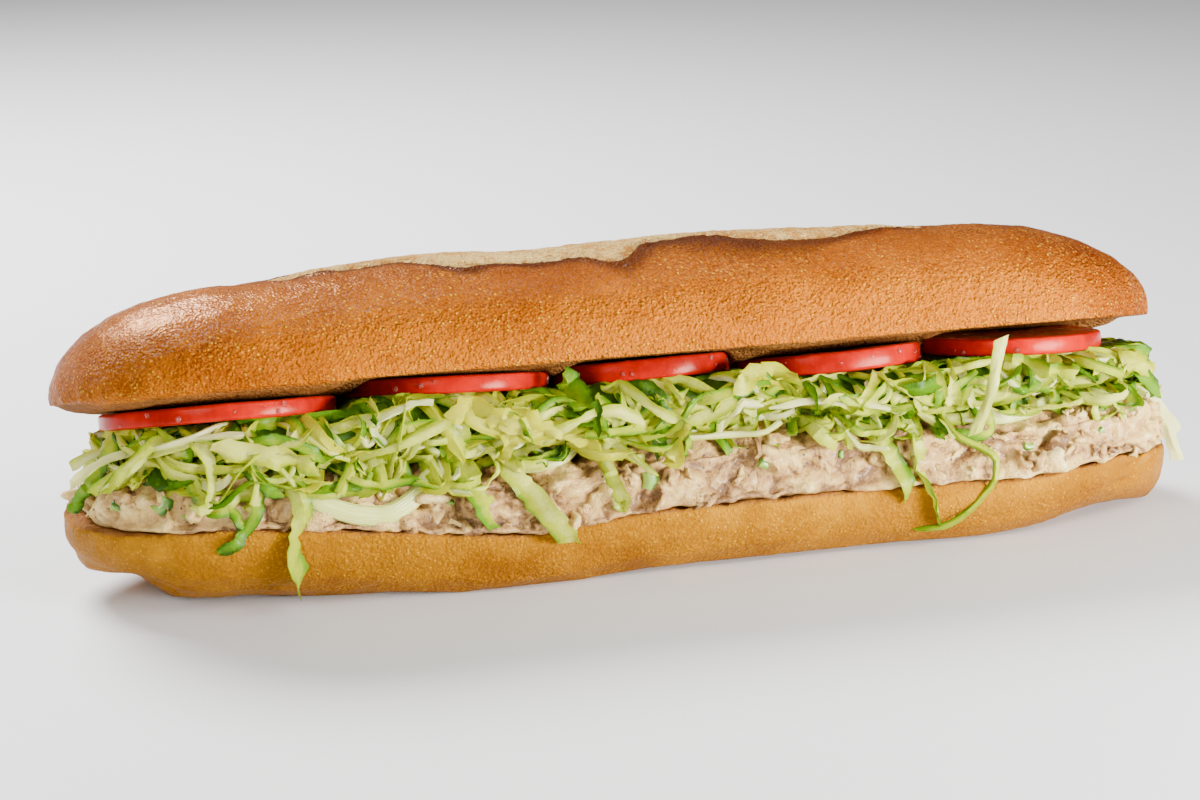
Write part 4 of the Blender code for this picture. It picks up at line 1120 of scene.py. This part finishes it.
def addEndShreds(heap, draw):
    for way, width, greens, rib, blunt in endShreds:
        path = smoothWay(way, 16)
        inner = np.column_stack([np.clip(path[:, 0], -0.125, 0.125), np.zeros(16), np.full(16, 0.022)])
        facing = (path - inner) / 0.15 + np.array([-0.2, -0.8, 0.2])
        thick = lettuce["stripThick"] if rib > 0.9 else lettuce["thick"]
        addShred(heap, path, facing, width / 1000, greens, draw, rib=rib, blunt=blunt, thick=thick)


def addLeafPieces(heap, wrap, draw):
    for way, width, greens, yellow in leafPieces:
        path, outward = wrap.way(smoothWay(way, 16), 0.0040 + 0.0010 * np.sin(np.arange(16)))
        addShred(heap, path, outward, width / 1000, greens, draw, yellow=yellow, ragged=0.045, frill=0.20)


def makeLettuce(wrap):
    draw = random.Random(21)
    left, right = wrap.fromX(-0.146), wrap.fromX(0.150)
    close, curls, leaves, rest = Heap(), Heap(), Heap(), Heap()
    scatterShreds(close, wrap, draw, "close", left, right)
    for sort in ("loose", "curled", "draped"):
        scatterShreds(curls, wrap, draw, sort, left, right)
    addHanging(curls, wrap, draw)
    addEndShreds(curls, draw)
    addLeafPieces(leaves, wrap, draw)
    scatterShreds(rest, wrap, draw, "behind", right, left + wrap.length)
    heaps = {"lettuceShreds": close, "lettuceCurls": curls, "lettuceLeaves": leaves, "lettuceBack": rest}
    for name, heap in heaps.items():
        finishPiece(heap.build(name, 45), "lettuce", lettuceLook)


def lettuceMaterial():
    made, wire, place = newMaterial("lettuceLeaf")
    green, rib, yellow = (toneOf(wire, channel) for channel in range(3))
    cloud, veins = noiseOf(place, 150, 3, 0.6), noiseOf(place, 700, 3, 0.65, 1.5)
    shade = green * 1.08 + (cloud - 0.5) * 0.70 + (veins - 0.5) * 0.42
    colour = shade.step(-0.05, 0.38).mix(lettuce["white"], lettuce["pale"])
    colour = shade.step(0.36, 0.88).mix(colour, lettuce["green"])
    # the darkest green is painted shade on the heart and the shreds underneath, and the real dark green of the
    # greenest leaf edges
    colour = shade.step(0.90, 1.20).mix(colour, lettuce["dark"])
    colour = (yellow * 0.80).mix(colour, lettuce["yellow"])
    colour = rib.step(0.25, 0.75).mix(colour, lettuce["rib"])
    normal = bumpOf(veins + cloud * 0.6, 0.45, 0.0006)
    leaf = principled(wire, baseColour=colour, roughness=0.28 + (cloud - 0.5) * 0.2, normal=normal, coat=0.10,
                      coatRoughness=0.14, ior=1.3)
    through = wire.node("BsdfTranslucent", {}, {"Color": colour, "Normal": normal})
    return shown(made, wire.node("MixShader", {}, {0: 0.45, 1: leaf, 2: through}))


# Onion

onion = {
    "white": (0.660, 0.690, 0.180),
    "line": (0.320, 0.420, 0.050),
    "thick": 0.0024,
}
# in millimetres: the way as x and z, and the width
onionWays = [
    ([(-104, 38.5), (-97, 32), (-87, 26.8), (-77, 25.2), (-69, 28.5), (-64.5, 33.5)], 5),
    ([(-50, 34.5), (-43, 31.8), (-35, 31.2), (-27, 32.8), (-20, 36)], 3),
    ([(-12, 35), (-4, 36.8), (6, 37.2), (16, 36.2)], 3),
    ([(84, 35), (93, 33.2), (103, 34), (112, 37.2)], 3.6),
]


def makeOnion(wrap, number, way, breadth):
    rows, segments, breadth = 30, 8, breadth / 1000
    along = np.linspace(0, 1, rows)[:, None]
    across = np.linspace(-1, 1, segments + 1)[None, :]
    path, outward = wrap.way(smoothWay(way, rows), -0.0002)
    path[:, 1] = np.convolve(np.pad(path[:, 1], 4, mode="edge"), np.ones(9) / 9, mode="valid")
    widths = breadth * (0.50 + 0.50 * np.sin(math.pi * along[:, 0]) ** 0.5)
    tones = np.zeros((rows, segments + 1, 3))
    tones[..., 0] = np.abs(across)
    rise = breadth * 0.10 * (0.4 - across**2) + along * 0
    heap = Heap()
    heap.sweep(path, outward + (0, 0, 0.15), widths, onion["thick"], rise, tones, segments, (0.5, -0.4))
    return finishPiece(heap.build(f"onionStrip{number}", 70), "onion", onionLook, f"onion_{number}")


def onionMaterial():
    made, wire, place = newMaterial("wetOnion")
    edge = toneOf(wire, 0)
    streak = noiseOf(place, 300, 3, 0.6, 0.8)
    lines = wire.math("SINE", edge * 24.0 + (streak - 0.5) * 4.0)
    shade = (edge * 0.35 + (streak - 0.5) * 0.7 + lines * 0.22).step(0.20, 0.95)
    return surface(made, wire, baseColour=shade.mix(onion["white"], onion["line"]), coat=0.25, coatRoughness=0.1,
                   roughness=0.22 + (streak - 0.5) * 0.15, normal=bumpOf(streak + lines * 0.4, 0.35, 0.0005),
                   subsurface=0.35, subsurfaceRadius=(1.0, 1.0, 0.7), subsurfaceScale=0.002)


# Celery, flakes and lumps in the tuna salad

# in millimetres: x, z and the size of each piece
celeryPlaces = [
    (-133, 29.4, 4.2), (-7.5, 25, 4), (24, 28.5, 2.6), (98, 27, 2.2), (-126, 27.2, 3.4), (46, 30, 1.8),
    (122, 29, 1.8), (-140, 28.5, 2.4), (-59.5, 26.2, 1.6),
]


def makeCelery(wrap):
    draw = random.Random(3)
    heap = Heap()
    rows, segments = 8, 4
    across = np.linspace(-1, 1, segments + 1)[None, :]
    for x, z, size in np.array(celeryPlaces) / 1000:
        start, sweepAngle = draw.uniform(-2.5, 2.5), draw.uniform(1.0, 1.5)
        angle = start + sweepAngle * np.linspace(0, 1, rows)
        arcX = x + size * 0.9 * (np.cos(angle) - math.cos(start))
        arcZ = z + size * 0.9 * (np.sin(angle) - math.sin(start))
        path, outward = wrap.way(list(zip(arcX, arcZ)), -0.0010)
        path[:, 1] = path[:, 1].mean()
        tones = np.zeros((rows, segments + 1, 3))
        tones[..., 0] = (across + 1) / 2
        widths = size * (0.75 + 0.25 * np.sin(math.pi * np.linspace(0, 1, rows)))
        rise = size * 0.25 * (0.5 - across**2) + np.zeros((rows, 1))
        heap.sweep(path, outward, widths, tuna["celeryThick"], rise, tones, segments, (0.4, -0.4))
    made, wire, place = newMaterial("celery")
    fine = noiseOf(place, 500, 3)
    shade = (toneOf(wire, 0) + (fine - 0.5) * 0.6).step(0.30, 0.95)
    look = surface(made, wire, baseColour=shade.mix(tuna["celeryPale"], tuna["celeryDark"]), roughness=0.25,
                   normal=bumpOf(fine, 0.3, 0.0004), coat=0.4, coatRoughness=0.1)
    return finishPiece(heap.build("celeryBits", 70), "tuna", look)


def tunaBand(spot, low):
    # between which heights the mixture shows here: from the cut edge up to the lettuce
    low, high = (low, edgeAt(spot[0])) if spot[1] < 0 else tuna["backBand"]
    return bunEdge(spot[0], low), high


def makeFlakes(wrap):
    # loose flakes of fish, most of them sunk in the dressing
    draw = random.Random(12)
    heap = Heap()
    rows, segments = 6, 3
    lumps = []
    for _ in range(tuna["flakes"]):
        s = draw.uniform(0, wrap.length)
        low, high = tunaBand(wrap.at(s, 0.03, 0.0)[0], 0.0205)
        z = draw.uniform(low, max(low + 0.002, high))
        length, angle = draw.uniform(0.0020, 0.0060), draw.uniform(-1.3, 1.3)
        path, outward = [], []
        tip = draw.uniform(-0.0004, 0.0007)
        for t in np.linspace(-0.5, 0.5, rows):
            out = -0.0012 + 0.0009 * (1 - 4 * t * t) + tip * (t + 0.5)
            spot, normal = wrap.at(s + length * t * math.cos(angle), z + length * t * math.sin(angle), out)
            path.append(spot + np.array([draw.gauss(0, 0.0002) for _ in range(3)]))
            outward.append(normal + np.array([draw.uniform(-0.4, 0.4), 0, draw.uniform(-0.4, 0.7)]))
        widths = draw.uniform(0.0010, 0.0026) * np.array([draw.uniform(0.4, 1.0) for _ in range(rows)])
        rise = np.array([[draw.gauss(0, 0.00018) for _ in range(segments + 1)] for _ in range(rows)])
        heap.sweep(path, outward, widths, draw.uniform(0.0006, 0.0014), rise, None, segments,
                   (draw.uniform(-1, 1), draw.uniform(-1, 1)))
        lumps += [draw.uniform(0.0, 0.75)] * (2 * rows * (segments + 1))
    piece = heap.build("tunaFlakes", 80)
    storeValue(piece, "lump", lumps)
    return finishPiece(piece, "tuna", bpy.data.materials["tunaInDressing"])


def makeChunks(wrap):
    # soft lumps of fish that stand out of the mixture, some of them over the cut edge of the roll
    draw = random.Random(31)
    bpy.ops.mesh.primitive_ico_sphere_add(subdivisions=3, radius=1.0)
    pattern, faces = takePattern()
    chunks, lumps = [], []
    for number in range(tuna["chunks"]):
        s = draw.uniform(0, wrap.length)
        low, high = tunaBand(wrap.at(s, 0.03, 0.0)[0], 0.0200)
        size = draw.triangular(*tuna["chunkSize"])
        z = draw.uniform(low + 0.2 * size, max(low + 0.002, high))
        spot, normal = wrap.at(s, z, -0.68 * size - 0.0002)
        axis = Vector((draw.uniform(-1, 1), draw.uniform(-1, 1), draw.uniform(-1, 1)))
        turn = np.array(Matrix.Rotation(draw.uniform(0, 3.1), 3, axis.normalized()))
        bumps = 0.75 * noiseAt(pattern, 1.0, number) + 0.50 * noiseAt(pattern, 0.45, number + 0.5)
        stretch = draw.uniform(0.9, 1.7), draw.uniform(0.6, 0.9), draw.uniform(0.5, 0.9)
        shape = (pattern * (1 + bumps)[:, None] * stretch) @ turn.T
        chunks.append(shape * size + spot)
        # each lump is lighter where it faces out and darker on its side towards the mixture, as painted shade
        lumps.append(draw.uniform(-0.20, 0.15) + 0.30 * smooth(-0.2, 0.9, shape @ normal) + 0.7 * bumps)
    piece = copiesPiece("tunaChunks", chunks, faces)
    storeValue(piece, "lump", np.concatenate(lumps))
    return finishPiece(piece, "tuna", bpy.data.materials["tunaInDressing"])


# Making

makeTopCrust()
bottomCrust = makeBottomCrust()
print("bread made")
tunaPiece = makeTuna()
lettuceLook, onionLook, tomatoLook = lettuceMaterial(), onionMaterial(), tomatoMaterial()
core = makeCore()
print("tuna salad and lettuce heart made")
for number, one in enumerate(slices, 1):
    makeSlice(number, one)
makeDrops()
print("tomato made")
fillingWrap = Wrap([bottomCrust, tunaPiece, core])
onions = [makeOnion(fillingWrap, number, *strip) for number, strip in enumerate(onionWays, 1)]
makeCelery(fillingWrap)
makeFlakes(fillingWrap)
chunks = makeChunks(fillingWrap)
makeLettuce(Wrap([bottomCrust, tunaPiece, core, chunks, *onions]))
print("filling made")

# Camera, light and floor

photoView = {
    "azimuth": math.radians(-19.4),
    "elevation": math.radians(14.3),
    "distance": 0.8661,
    "target": (-0.0081, 0.0, 0.0397),
    "lens": 99.0,
    "sensor": 36.0,
}
turn, lift = photoView["azimuth"], photoView["elevation"]
back = Vector((math.sin(turn) * math.cos(lift), -math.cos(turn) * math.cos(lift), math.sin(lift)))
camera = bpy.data.objects.new("camera", bpy.data.cameras.new("camera"))
camera.data.lens, camera.data.sensor_width = photoView["lens"], photoView["sensor"]
camera.location = Vector(photoView["target"]) + back * photoView["distance"]
camera.rotation_euler = back.to_track_quat("Z", "Y").to_euler()
bpy.context.scene.collection.objects.link(camera)
bpy.context.scene.camera = camera

bpy.ops.mesh.primitive_plane_add(size=6.0, location=(0, 0, 0))
floor = bpy.context.active_object
floor.name = "floor"
floorLook, floorWire, _ = newMaterial("paleFloor")
floor.data.materials.append(surface(floorLook, floorWire, baseColour=(0.86, 0.86, 0.86), roughness=0.6))

lights = [
    {"name": "keyLight", "place": (0.45, -0.80, 0.75), "size": (0.80, 0.36), "power": 7.6},
    {"name": "topLight", "place": (-0.29, 0.62, 0.69), "size": (0.56, 0.40), "power": 26.0},
    {"name": "nearLight", "place": (0.33, -0.40, 0.075), "size": (0.30, 0.12), "power": 8.4},
    {"name": "sideLight", "place": (-0.80, -0.75, 0.55), "size": (0.70, 0.50), "power": 7.6},
]
lightsAim = Vector((0, 0, 0.04))
for light in lights:
    lamp = bpy.data.objects.new(light["name"], bpy.data.lights.new(light["name"], "AREA"))
    lamp.data.energy, lamp.data.shape = light["power"], "ELLIPSE"
    lamp.data.size, lamp.data.size_y = light["size"]
    lamp.location = light["place"]
    lamp.rotation_euler = (Vector(light["place"]) - lightsAim).to_track_quat("Z", "Y").to_euler()
    bpy.context.scene.collection.objects.link(lamp)
world = bpy.data.worlds.new("studio")
world.use_nodes = True
sky = world.node_tree.nodes["Background"].inputs
sky["Color"].default_value, sky["Strength"].default_value = (1.0, 1.0, 1.0, 1.0), 0.15
bpy.context.scene.world = world
